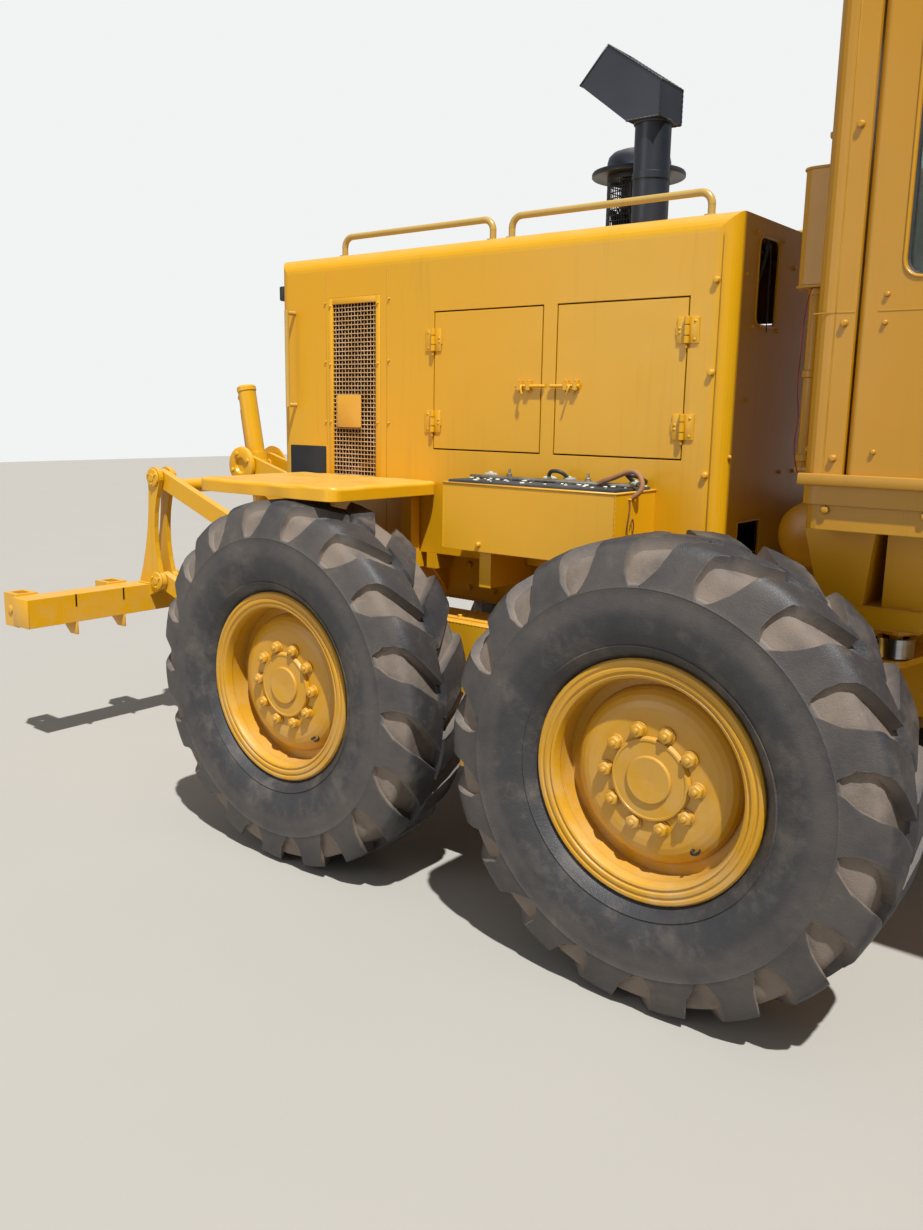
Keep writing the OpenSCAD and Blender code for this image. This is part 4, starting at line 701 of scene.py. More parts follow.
class GRADER_OT_tyres(bpy.types.Operator):
    """Spins the tyre's section, presses the slanted grooves in, and fits a copy on each wheel"""
    bl_idname = "grader.tyres"
    bl_label = "Tyres with treads"

    def execute(self, context):
        lugs = sizes().lug_count
        steps = lugs * PITCH_COLUMNS
        runs = [0.0]
        for a, b in zip(SECTION, SECTION[1:]):
            runs.append(runs[-1] + math.dist(a, b))
        rows = [(r, w, s) for (r, w), s in zip(SECTION, runs)]
        loop = [(r, w, s, 1) for r, w, s in rows[::-1]] + [(r, -w, s, -1) for r, w, s in rows[1:]]
        mesh = bpy.data.meshes.new("tyre_section")
        n = len(loop)
        mesh.from_pydata([(0, w * MM, r * MM) for r, w, s, side in loop], [], [])
        mesh.edges.add(n)
        mesh.edges.foreach_set("vertices", [v for i in range(n) for v in (i, (i + 1) % n)])
        tyre = bpy.data.objects.new("tyre", mesh)
        context.collection.objects.link(tyre)
        edit(tyre)
        bpy.ops.mesh.spin(steps=steps, angle=2 * math.pi, center=(0, 0, 0), axis=(0, 1, 0))
        bpy.ops.mesh.select_all(action="SELECT")
        bpy.ops.mesh.remove_doubles(threshold=0.0002)
        done()
        spots = np.zeros(len(tyre.data.vertices) * 3)
        tyre.data.vertices.foreach_get("co", spots)
        spots = spots.reshape(-1, 3) / MM
        radius = np.hypot(spots[:, 0], spots[:, 2])
        around = np.arctan2(spots[:, 0], spots[:, 2])
        column = np.round(around / (2 * math.pi) * steps).astype(int) % steps
        known = np.array([(r, w) for r, w, s, side in loop])
        row = np.argmin((radius[:, None] - known[:, 0]) ** 2 + (spots[:, 1][:, None] - known[:, 1]) ** 2,
                axis=1)
        soil = np.zeros(len(spots))
        pitch = 2 * math.pi / lugs
        depth_full = sizes().groove_depth / MM
        for i, (c, k) in enumerate(zip(column, row)):
            r, w, s, side = loop[k]
            shift = 0 if side > 0 else PITCH_COLUMNS // 2
            j = (c + shift) % PITCH_COLUMNS
            half, depth, slant, even = tread_shape(s)
            own = tread_column(j, half) / TYRE_R
            flat = (j if j <= PITCH_COLUMNS // 2 else j - PITCH_COLUMNS) * pitch / PITCH_COLUMNS
            base = c * 2 * math.pi / steps - flat
            angle = base + own * (1 - even) + flat * even + slant / TYRE_R
            in_groove = j in (0, 1, 2, PITCH_COLUMNS - 1, PITCH_COLUMNS - 2)
            drop = depth_full * depth if in_groove else 0
            if s == 0:
                drop = depth_full * 0.72
            wear = abs(noise.noise(Vector((c * 0.37, k * 0.9, side * 3.1)))) * (3.2 if s < 262 else 0.5)
            if 0 < s < 262 and 2 < min(j, PITCH_COLUMNS - j) < 6:
                # Lug edges crumble
                angle += 5 * noise.noise(Vector((c * 1.7, k * 1.3, side * 5.0))) / TYRE_R
                wear += 5 * max(0.0, noise.noise(Vector((c * 2.3, k * 1.9, side * 8.0))))
            # Inwards from the surface: straight down on the tread, sideways too on the wall
            lean = min(1.0, max(0.0, (s - 118) / 150))
            out = r - (drop + wear) * (1 - 0.55 * lean)
            across = w - side * drop * 0.75 * lean if side else w
            spots[i] = (out * math.sin(angle), across, out * math.cos(angle))
            rim = 1 if j in (3, PITCH_COLUMNS - 3) and s < 262 else 0
            soil[i] = (0.85 if in_groove and s < 268 else 0.25 * rim) + (0.2 if 150 < s < 330 else 0)
        tyre.data.vertices.foreach_set("co", (spots * MM).ravel())
        layer = tyre.data.attributes.new("groove", "FLOAT", "POINT")
        layer.data.foreach_set("value", soil)
        edit(tyre)
        bpy.ops.mesh.normals_make_consistent(inside=False)
        done()
        soften(tyre, 0, angle=34)
        for number, (wheel, (x, side)) in enumerate(WHEELS.items()):
            copy = tyre.copy()
            copy.data = tyre.data.copy()
            context.collection.objects.link(copy)
            turn = Matrix.Rotation(0.11 * number, 4, "Y")
            copy.data.transform(Matrix.Translation(P(x, side * TRACK_HALF, TYRE_R)) @ turn)
            finish(copy, "tread_" + wheel, "road_wheel_" + wheel, RUBBER)
            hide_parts("tyre_" + wheel)
        bpy.data.objects.remove(tyre)
        return {"FINISHED"}


class GRADER_OT_wheels(bpy.types.Operator):
    """Adds hub bolts with washers, the rolled rim and its lock ring, and the valve to each wheel"""
    bl_idname = "grader.wheels"
    bl_label = "Wheel fittings"

    def execute(self, context):
        bolt = hex_bolt()
        for wheel, (x, side) in WHEELS.items():
            y = side * TRACK_HALF
            places = []
            for i in range(10):
                a = math.radians(36 * i)
                places.append((x + STUD_R * math.cos(a), y + side * HUB_FACE,
                        TYRE_R + STUD_R * math.sin(a)))
            nuts = stamped(bolt, [(p, (0, side, 0), 1.95) for p in places])
            studs = [rod((p[0], p[1] + side * 18, p[2]), (p[0], p[1] + side * 29, p[2]), 8.5, 12, 1)
                     for p in places]
            ring = lathe([(352.5, 128), (352.5, 140), (347, 146.5), (338, 147), (333, 143.5), (329, 143.5),
                          (326, 147), (317, 147), (312, 141.5), (308.5, 141.5), (305, 145), (298, 142),
                          (292, 129), (291, 112), (296, 112), (300, 126)], (x, y, TYRE_R), (0, side, 0), 72)
            band = lathe([(120, HUB_FACE - 2), (124, HUB_FACE + 2), (118.5, HUB_FACE + 13.5),
                          (112, HUB_FACE + 14), (110, HUB_FACE + 11.5), (108, HUB_FACE + 11)],
                         (x, y, TYRE_R), (0, side, 0), 48)
            cap = lathe([(0.0, HUB_FACE + 13.5), (3, HUB_FACE + 13.8), (7, HUB_FACE + 18),
                         (60, HUB_FACE + 20), (66, HUB_FACE + 20.5), (69.5, HUB_FACE + 18),
                         (70, HUB_FACE + 10), (0.0, HUB_FACE + 10)], (x, y, TYRE_R), (0, side, 0), 40)
            a = math.radians(-52)
            at = lambda r, w: (x + r * math.cos(a), y + side * w, TYRE_R + r * math.sin(a))
            hole = lathe([(0.0, 1), (15, 1), (17, 3), (20, 3), (20, -3), (0.0, -3)], at(222, 82),
                         (0, side, 0), 20)
            valve = rod(at(222, 78), at(226, 104), 4.5, 12, 0.8)
            fittings = join("hub_fittings", [nuts, *studs, ring, band, cap])
            finish(fittings, "hub_fittings_" + wheel, "road_wheel_" + wheel, HUB)
            fit([hole, valve], "valve_" + wheel, "road_wheel_" + wheel, PLASTIC)
        bpy.data.objects.remove(bolt)
        return {"FINISHED"}


class GRADER_OT_hood(bpy.types.Operator):
    """Adds the hood's seams, bolts, hinge screws, door gaps, plates and the things in its front openings"""
    bl_idname = "grader.hood"
    bl_label = "Hood fittings"

    def execute(self, context):
        bolt = hex_bolt()
        for side, hand in SIDES:
            face = side * HOOD_HALF
            out = (0, side, 0)
            # Bolts down the front edge, along the bottom and on the rear panel
            places = [((595, face, z), out, 0.95) for z in (2096, 1819, 1502)]
            places += [((x, face, 1178), out, 0.8) for x in (-1240, -700, -60, 480)]
            places += [((-1090 + dx, face, z), out, 0.45) for dx in (-26, 326)
                       for z in (1392, 1640, 1880, 2112)]
            fixings = stamped(bolt, places)
            finish(fixings, "hood_bolts_" + hand, "rear_body", YELLOW)
            # Lapped sheet edges: the front cap, the rear panel and the roof sheet overlap the side sheet;
            # each lap is drawn as a thin strip in darker yellow, painted shadow along its edge
            laps = []
            for x, z0, z1 in ((612, 1150, 2236), (-775, 1150, 2226), (-1112, 1545, 2226)):
                laps.append(block((x - 1.6, face - 0.8, z0), (x + 1.6, face + 0.8, z1), 0.5, 1))
            fit(laps, "sheet_seams_" + hand, "rear_body", SEAM_SHADOW)
            # Hinges: a countersunk screw in each corner of both leaves, and the pin's rivet ends
            screws = {"rear": [], "front": []}
            fixed = []
            for door, x, way in (("rear", -532.5, -1), ("front", 507.5, 1)):
                for z in (1610, 1910):
                    for dz in (12, 68):
                        fixed.append(rod((x + way * 26, face + side * 3, z + dz),
                                (x + way * 26, face + side * 6.6, z + dz), 5, 12, 0.8, 3.6))
                    for dz in (33, 47):
                        screws[door].append(rod((x - way * 27, face + side * 3, z + dz),
                                (x - way * 27, face + side * 6.6, z + dz), 5, 12, 0.8, 3.6))
                    fixed.append(rod((x, side * (HOOD_HALF + 9), z - 16), (x, side * (HOOD_HALF + 9), z), 5,
                            14, 1.5))
                    fixed.append(rod((x, side * (HOOD_HALF + 9), z + 80),
                            (x, side * (HOOD_HALF + 9), z + 83), 7, 14, 0.8))
                    for leaf, mid in ((fixed, x + way * 21), (screws[door], x - way * 21)):
                        leaf.append(block((mid - 15, face, z - 1), (mid + 15, face + side * 4.6, z + 81),
                                1))
            fit(fixed, "hinge_screws_" + hand, "rear_body", YELLOW)
            # Doors: folded edges seen in the gap, a pull on the slide bolt and the rivets of its guides
            for door, x0, x1, way in (("rear", -530, -45, 1), ("front", 20, 505, -1)):
                meet = x1 if way > 0 else x0
                pull = tube([(meet - way * 68, face + side * 9, 1780),
                             (meet - way * 68, face + side * 22, 1781),
                             (meet - way * 66, face + side * 27, 1768),
                             (meet - way * 60, face + side * 26, 1752)], 4.2, 10, 0.006)
                tip = rod((meet + way * 17, face + side * 9, 1780),
                          (meet + way * 24, face + side * 9, 1780), 5.5, 14, 1.5, 3)
                rivets = [rod((meet - way * s, face, z), (meet - way * s, face + side * 3, z), 3.6, 10, 1.2,
                              2.4) for s in (92, 78, 52, 38) for z in (1761, 1799)]
                lip = [block((x0 + 1.5, face - side * 24, 1551.5), (x0 + 4, face - side * 5, 2048.5), 0.6,
                             1), block((x1 - 4, face - side * 24, 1551.5),
                        (x1 - 1.5, face - side * 5, 2048.5), 0.6, 1)]
                piece = join("door_parts", [pull, tip, *rivets, *lip, *screws[door]])
                finish(piece, "door_fittings_" + hand + "_" + door, "engine_door_" + hand + "_" + door,
                       YELLOW)
            # Bare dark plate at the rear, with its four rivets, and the small plate wired to the screen
            plate = outline_plate(rounded((-1334, 1367), (-1118, 1538), 5), "y", face - side,
                    face + side * 2.5, 0.8)
            studs = [rod((x, face + side * 2, z), (x, face + side * 4, z), 4, 12, 1, 2.6)
                     for x in (-1324, -1128) for z in (1377, 1528)]
            fit([plate, *studs], "bare_plate_" + hand, "rear_body", PLATE)
            patch = outline_plate(rounded((-1048, 1618), (-912, 1748), 6), "y", face + side * 2,
                    face + side * 5, 1)
            finish(patch, "screen_patch_" + hand, "rear_body", SHADE)
        # Front face: bolts by the slot, its rolled edge, a lever and a hanging wire behind it
        face = HOOD_FRONT
        for side, hand in SIDES:
            spots = [(side * y, z) for y, z in ((375, 2252), (168, 2252), (375, 1968), (168, 1968),
                    (375, 1740), (440, 1260), (440, 2120), (60, 1500), (60, 2180), (480, 1560))]
            finish(bolted(bolt, (1, 0, 0), 0.6, [(face, y, z) for y, z in spots]), "front_bolts_" + hand,
                   "rear_body", YELLOW)
            rim = surround((min(side * 354, side * 190), 1975), (max(side * 354, side * 190), 2245), 30,
                    "x", face, 4)
            square = surround((min(side * 384, side * 198), 1214), (max(side * 384, side * 198), 1345), 5,
                    "x", face, 3)
            fit([rim, square], "opening_rims_" + hand, "rear_body", YELLOW)
            lever = tube([(560, side * 300, 1990), (600, side * 296, 2060), (628, side * 280, 2150),
                          (634, side * 262, 2215)], 7)
            knob = lathe([(0.0, -14), (8, -13), (14, -5), (14, 6), (8, 14), (0.0, 15)],
                         (634, side * 262, 2222), (0, 0, 1), 16)
            bracket = block((540, side * 340 - 12, 1982), (642, side * 340 + 12, 1990), 2)
            fit([lever, knob, bracket], "slot_lever_" + hand, "rear_body", BLACK)
        wire, path = cord([(640, -292, 2244), (652, -290, 2232), (658, -287, 2200), (659, -284, 2150),
                (657, -282, 2085), (659, -281, 2040), (658, -280, 2000), (659, -279, 1955)], 1.6, 8, 0.012)
        finish(wire, "slot_wire", "rear_body", HOSE)
        # Rear face: the screen's bolts and the tail lamps
        rear = HOOD_REAR
        spots = [((rear, y, z), (-1, 0, 0), 0.6) for y in (-430, 430) for z in (1310, 1580, 1850, 2120)]
        spots += [((rear, y, z), (-1, 0, 0), 0.6) for y in (-200, 200) for z in (1262, 2168)]
        finish(stamped(bolt, spots), "rear_bolts", "rear_body", YELLOW)
        for side, hand in SIDES:
            shell = block((rear - 26, side * 462 - 40, 2140), (rear + 2, side * 462 + 40, 2200), 6)
            finish(shell, "tail_lamp_body_" + hand, "rear_body", PLASTIC)
            glass = block((rear - 31, side * 462 - 33, 2147), (rear - 22, side * 462 + 33, 2193), 4)
            finish(glass, "tail_lamp_lens_" + hand, "rear_body", RED_LENS)
        bpy.data.objects.remove(bolt)
        return {"FINISHED"}


class GRADER_OT_screens(bpy.types.Operator):
    """Weaves the side screens and the rear screen, with the cooler's fins behind them"""
    bl_idname = "grader.screens"
    bl_label = "Screens and cooler"

    def woven(self, lo, hi, level, axis, pitch, thick):
        """Two layers of crimped wires that pass over and under each other."""
        wires = []
        for across in (0, 1):
            a0, a1 = lo[across], hi[across]
            b0, b1 = lo[1 - across], hi[1 - across]
            n = int((a1 - a0) / pitch)
            m = int((b1 - b0) / pitch)
            for i in range(1, n):
                a = a0 + (a1 - a0) * i / n
                line = []
                for j in range(m + 1):
                    b = b0 + (b1 - b0) * j / m
                    bend = (1 if (i + j) % 2 else -1) * (1 if across else -1) * thick * 0.45
                    line.append((a, b, bend) if across == 0 else (b, a, bend))
                wires.append(pipe([P(u, level + w, v) if axis == "y" else P(level + w, u, v)
                        for u, v, w in line], thick / 2, 4))
        return wires

    def execute(self, context):
        pitch, thick = sizes().wire_pitch / MM, sizes().wire_thick / MM
        bolt = hex_bolt()
        pieces, wires = [], []
        for side in (-1, 1):
            face = side * HOOD_HALF
            wires += self.woven((-1078, 1392), (-832, 2108), face - side * 5, "y", pitch, thick)
            for lo, hi in (((-1099.7, 1370.3), (-1075, 2129.7)), ((-835, 1370.3), (-810.3, 2129.7)),
                    ((-1076, 1370.3), (-834, 1395)), ((-1076, 2105), (-834, 2129.7))):
                y0, y1 = sorted((face - side * 11, face + side * 1.5))
                pieces.append(block((lo[0], y0, lo[1]), (hi[0], y1, hi[1]), 2))
            pieces.append(bolted(bolt, (0, side, 0), 0.42,
                    [(x, face + side * 1.5, z) for x in (-1087, -823) for z in (1400, 1640, 1870, 2100)]))
        wires += self.woven((-376, 1314), (376, 2116), HOOD_REAR + 5, "x", pitch * 1.5, thick * 1.3)
        for lo, hi in (((-399, 1291), (-374, 2139)), ((374, 1291), (399, 2139)),
                ((-375, 1291), (375, 1316)), ((-375, 2114), (375, 2139))):
            pieces.append(block((HOOD_REAR, lo[0], lo[1]), (HOOD_REAR + 12, hi[0], hi[1]), 2))
        screens = join("screens", pieces)
        finish(screens, "screen_frames", "rear_body", YELLOW)
        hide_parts("grilles")
        fit(wires, "screen_wires", "rear_body", WIRES)
        # Cooler: folded fins about 9 mm apart, with tubes across them
        fins = []
        for side in (-1, 1):
            zigzag = []
            for i in range(27):
                zigzag.append((-1078 + i * 8.6, side * (472 if i % 2 else 484)))
            outline = [(-1078, side * 471)] + zigzag + [(-854, side * 471)]
            fins.append(outline_plate(outline, "z", 1160, 2186, 0))
            for x in (-1094, -852):
                fins.append(block((x, side * 300, 1160), (x + 4, side * 516, 2186), 1))
            fins += [rod((-1078, side * 486, z), (-852, side * 486, z), 6, 10)
                     for z in range(1400, 2150, 90)]
        core = [block((-1086, -468, 1350), (-1081, 468, 2180), 2)]
        core += [block((-1090, y - 1.5, 1360), (-1084, y + 1.5, 2170), 0) for y in range(-460, 461, 20)]
        fit(fins + core, "cooler_fins", "rear_body", FINS)
        elbow = tube([(-1030, -508, 1330), (-1010, -509, 1350), (-998, -510, 1376), (-985, -510, 1420),
                      (-955, -510, 1452), (-905, -509, 1470), (-861, -508, 1482), (-835, -507, 1484)], 13,
                     14)
        clamp = lathe([(13.2, -6), (15.5, -6), (15.5, 6), (13.2, 6)], (-965, -510, 1443), (0.7, 0, 0.7), 20)
        fit([elbow, clamp], "cooler_hose", "rear_body", RUST)
        bpy.data.objects.remove(bolt)
        return {"FINISHED"}


class GRADER_OT_stack(bpy.types.Operator):
    """Adds welds and flanges to the exhaust and builds the see-through precleaner"""
    bl_idname = "grader.stack"
    bl_label = "Exhaust and precleaner"

    def execute(self, context):
        x, y = 140, -150
        bolt = hex_bolt()
        neck = lathe([(63.6, 2686), (68, 2683), (70, 2689), (66, 2694), (63.6, 2694)], (x, y, 0), (0, 0, 1),
                     40)
        foot = lathe([(63.6, 2309), (72, 2309), (66, 2320), (63.6, 2321)], (x, y, 0), (0, 0, 1), 40)
        band = lathe([(63.6, 2500), (66.5, 2500), (66.5, 2524), (63.6, 2524)], (x, y, 0), (0, 0, 1), 40)
        beads = [weld([(x - 65, y + s * 80, 2690), (x + 65, y + s * 80, 2690), (x + 65, y + s * 80, 2805),
                (x - 148, y + s * 80, 2950)], 3.2) for s in (-1, 1)]
        beads.append(weld([(x + 65, y - 80, 2805), (x + 65, y + 80, 2805)], 3.2))
        lip = pipe([P(x - 258, y - 80, 2836), P(x - 258, y + 80, 2836), P(x - 148, y + 80, 2950),
                    P(x - 148, y - 80, 2950)], 4, 8, True)
        bolts = bolt_ring(bolt, (x, y, HOOD_TOP + 8), 80, (0, 0, 1), 0.8, (0.6, 2.2, 3.8, 5.3))
        fit([neck, foot, band, *beads, lip, bolts], "exhaust_fittings", "rear_body", BLACK)
        # Precleaner: a perforated bowl under a brim and a dome, on the intake tube
        x, y = -80, 150
        bpy.ops.mesh.primitive_cylinder_add(vertices=64, radius=0.117, depth=0.27, end_fill_type="NOTHING",
                location=P(x, y, HOOD_TOP + 150))
        bowl = settle(context.object)
        edit(bowl)
        for i in range(1, 13):
            bpy.ops.mesh.select_all(action="SELECT")
            bpy.ops.mesh.bisect(plane_co=P(x, y, HOOD_TOP + 15 + i * 270 / 13), plane_no=(0, 0, 1))
        done()
        modify(bowl, "WIREFRAME", thickness=0.0048, use_even_offset=True, use_boundary=True)
        soften(bowl, 0, angle=50)
        tube_in = lathe([(0.0, -118), (64, -118), (66, -110), (66, 284), (60, 290), (0.0, 290)],
                (x, y, HOOD_TOP), (0, 0, 1), 40)
        spinner = []
        for a in even(10):
            ends = [(x + r * math.cos(a + t), y + r * math.sin(a + t), z)
                    for r, t, z in ((66, 0, 2400), (104, 0.25, 2450))]
            spinner.append(outline_plate([(-18, -50), (18, -50), (18, 50), (-18, 50)], "y", -1, 1, 0))
            spinner[-1].data.transform(Matrix.Translation(P(0, 0, 0)).inverted())
            middle = (P(*ends[0]) + P(*ends[1])) / 2
            turn = Matrix.Rotation(a + 0.6, 4, "Z") @ Matrix.Rotation(0.5, 4, "X")
            spinner[-1].data.transform(Matrix.Translation(middle) @ turn)
        brim = lathe([(0.0, 2588), (116, 2590), (158, 2591), (177, 2586), (180, 2589), (180, 2600),
                      (176, 2606), (150, 2609), (126, 2614), (122, 2620), (122, 2640), (117, 2660),
                      (102, 2675), (80, 2683), (0.0, 2686)], (x, y, 0), (0, 0, 1), 72)
        base = lathe([(118, 2300.5), (121, 2302), (121, 2316), (117, 2318), (66, 2318), (66, 2300.5)],
                     (x, y, 0), (0, 0, 1), 56)
        top = lathe([(118, 2572), (120.5, 2572), (120.5, 2589), (70, 2589), (70, 2584), (118, 2584)],
                    (x, y, 0), (0, 0, 1), 56)
        wing = [rod((x, y, 2684), (x, y, 2700), 7, 14, 1),
                block((x - 24, y - 3, 2690), (x + 24, y + 3, 2706), 2.5)]
        cleaner = join("cleaner", [bowl, tube_in, *spinner, brim, base, top, *wing])
        finish(cleaner, "precleaner_bowl", "rear_body", BLACK)
        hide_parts("precleaner")
        bpy.data.objects.remove(bolt)
        return {"FINISHED"}


class GRADER_OT_battery_box(bpy.types.Operator):
    """Builds the two batteries with their clamps and leads, and the box's lip, bolts and hanging wire"""
    bl_idname = "grader.battery_box"
    bl_label = "Batteries"

    def execute(self, context):
        bolt = hex_bolt()
        cases, lids, posts = [], [], []
        for x0 in (-251, 86):
            x1, y0, y1 = x0 + 323, -776, -544
            cases.append(block((x0, y0, 1221), (x1, y1, 1438), 6))
            for x in range(x0 + 12, x1 - 8, 26):
                for y in (y0, y1):
                    cases.append(block((x, y - 2, 1240), (x + 12, y + 2, 1425), 1.2, 1))
            lids.append(block((x0 - 3, y0 - 3, 1436), (x1 + 3, y1 + 3, 1457), 4))
            for i in range(6):
                lids.append(rod((x0 + 42 + i * 47, (y0 + y1) / 2, 1456),
                        (x0 + 42 + i * 47, (y0 + y1) / 2, 1464), 14, 16, 2, 12))
            for x in (x0 + 34, x1 - 34):
                posts.append(rod((x, y1 - 36, 1456), (x, y1 - 36, 1478), 9, 16, 1.5, 8))
                posts.append(block((x - 16, y1 - 52, 1461), (x + 16, y1 - 20, 1473), 3))
                posts.append(rod((x - 20, y1 - 24, 1467), (x + 20, y1 - 24, 1467), 4, 8))
        grit = random.Random(11)
        litter = []
        for i in range(70):
            x, y = grit.uniform(-240, 405), grit.uniform(-770, -560)
            s = grit.uniform(3, 9)
            chip = block((x - s, y - s * 0.6, 1457), (x + s, y + s * 0.6, 1457 + s * 0.5), s * 0.15, 1)
            chip.data.transform(about(Matrix.Rotation(grit.uniform(0, 3.1), 4, "Z"), P(x, y, 1458)))
            litter.append(chip)
        fit(cases, "battery_cases", "rear_body", PLASTIC)
        fit(lids, "battery_lids", "rear_body", DUSTY_LID)
        fit(litter, "battery_litter", "rear_body", LITTER)
        fit(posts, "battery_clamps", "rear_body", LEAD)
        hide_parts("batteries")
        # A hold-down bar over both batteries, with hook bolts
        bar = block((-245, -668, 1458), (405, -640, 1470), 3)
        hooks = [rod((x, -654, 1455), (x, -654, 1496), 5, 12, 1) for x in (-80, 240)]
        nuts = bolted(bolt, (0, 0, 1), 0.9, [(x, -654, 1470) for x in (-80, 240)])
        fit([bar, *hooks, nuts], "hold_down_bar", "rear_body", ZINC)
        # Leads: one joins the batteries, one goes into the hood, and a brown hose loops over the front end
        leads = (("battery_link", HOSE, 7,
                  [(38, -580, 1468), (44, -590, 1480), (62, -604, 1492), (90, -607, 1494),
                   (108, -598, 1486), (118, -585, 1470)]),
                 ("battery_lead", HOSE, 7,
                  [(375, -580, 1468), (366, -600, 1484), (372, -630, 1496), (396, -640, 1496),
                   (404, -612, 1490), (398, -570, 1480), (390, -540, 1474), (386, -526, 1472)]),
                 ("brown_hose", TAN_HOSE, 8,
                  [(300, -690, 1466), (318, -682, 1476), (346, -672, 1487), (380, -668, 1502),
                   (413, -666, 1511), (440, -668, 1496), (452, -672, 1470), (447, -678, 1448),
                   (430, -683, 1432), (414, -687, 1420)]))
        for name, mat, r, points in leads:
            hose, path = cord(points, r, 12, 0.012)
            finish(hose, name, "rear_body", mat)
        loop, path = cord([(428, -705, 1424), (433, -708, 1405), (434, -716, 1370), (433, -722, 1335),
                (432, -716, 1306), (431, -702, 1293), (432, -688, 1304), (433, -682, 1335),
                (433, -690, 1362), (433, -700, 1345)], 2.2, 8, 0.01)
        finish(loop, "box_wire", "rear_body", RUST)
        # The box: a turned lip, corner welds and bolts to its brackets
        lip = pipe([P(-265, -790, 1445), P(425, -790, 1445), P(425, -531, 1445), P(-265, -531, 1445)], 4.5,
                   8, True)
        seams = [weld([(x, -790, 1218), (x, -790, 1440)], 2.6) for x in (-265, 425)]
        heads = bolted(bolt, (0, -1, 0), 0.8, [(x, -790, z) for x in (-105, 325) for z in (1240,)])
        hook = rod((425, -705, 1424), (434, -705, 1424), 4, 10, 1)
        fit([lip, *seams, heads, hook], "battery_box_lip", "rear_body", YELLOW)
        bpy.data.objects.remove(bolt)
        return {"FINISHED"}


class GRADER_OT_fenders(bpy.types.Operator):
    """Beats the two fender pans from flat boxes with rounded, dented tops and a torn lip"""
    bl_idname = "grader.fenders"
    bl_label = "Fender pans"

    def execute(self, context):
        depth = sizes().dent_depth
        for side, hand in SIDES:
            lo, hi = (-1240, 530.6, 1376), (-500, 1100, 1430)
            y0, y1 = sorted((side * lo[1], side * hi[1]))
            pan = outline_plate(rounded((lo[0], y0), (hi[0], y1), 42, 7), "z", lo[2], hi[2], 0)
            edit(pan)
            bpy.ops.mesh.select_all(action="DESELECT")
            done()
            for face in pan.data.polygons:
                face.select = face.normal.z < -0.9
            pick(pan)
            bpy.ops.object.mode_set(mode="EDIT")
            bpy.ops.mesh.delete(type="FACE")
            done()
            soften(pan, 15, 5, 40)
            edit(pan)
            for x in range(-1220, -510, 22):
                bpy.ops.mesh.select_all(action="SELECT")
                bpy.ops.mesh.bisect(plane_co=P(x, 0, 0), plane_no=(1, 0, 0))
            for y in range(548, 1090, 22):
                bpy.ops.mesh.select_all(action="SELECT")
                bpy.ops.mesh.bisect(plane_co=P(0, side * y, 0), plane_no=(0, 1, 0))
            done()
            for v in pan.data.vertices:
                q = v.co / MM
                inner = max(0.0, min(1.0, (q.z - 1400) / 28))
                broad = noise.noise(Vector((q.x / 210, q.y / 190, side * 2.0)))
                small = noise.noise(Vector((q.x / 75, q.y / 80, 7.0)))
                dent = broad * 0.8 + small * 0.3
                v.co.z -= (0.25 + 0.75 * abs(dent)) * depth * inner * 0.8
                edge = min(abs(q.y) - 530, 1100 - abs(q.y))
                if q.z < 1425 and edge < 30:
                    v.co.y += side * 0.5 * depth * noise.noise(Vector((q.x / 120, q.z / 60, side * 5.0)))
                # The torn notch in the lip at the front, near the hood
                if q.x > -506 and 545 < abs(q.y) < 625 and q.z < 1390:
                    v.co.z += (16 - 0.012 * (abs(q.y) - 585) ** 2) * MM
                    v.co.x -= 5 * MM * noise.noise(Vector((q.y / 9, 3.0, side * 4.0)))
                v.co.z = min(v.co.z, 1.4299)
            modify(pan, "SOLIDIFY", thickness=0.005, offset=-1)
            soften(pan, 0, angle=40)
            stay = [block((x, side * 590, 1408), (x + 40, side * 1060, 1416), 2) for x in (-1175, -635)]
            fit([pan, *stay], "fender_pan_" + hand, "rear_body", YELLOW)
        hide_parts("fender_plates")
        return {"FINISHED"}


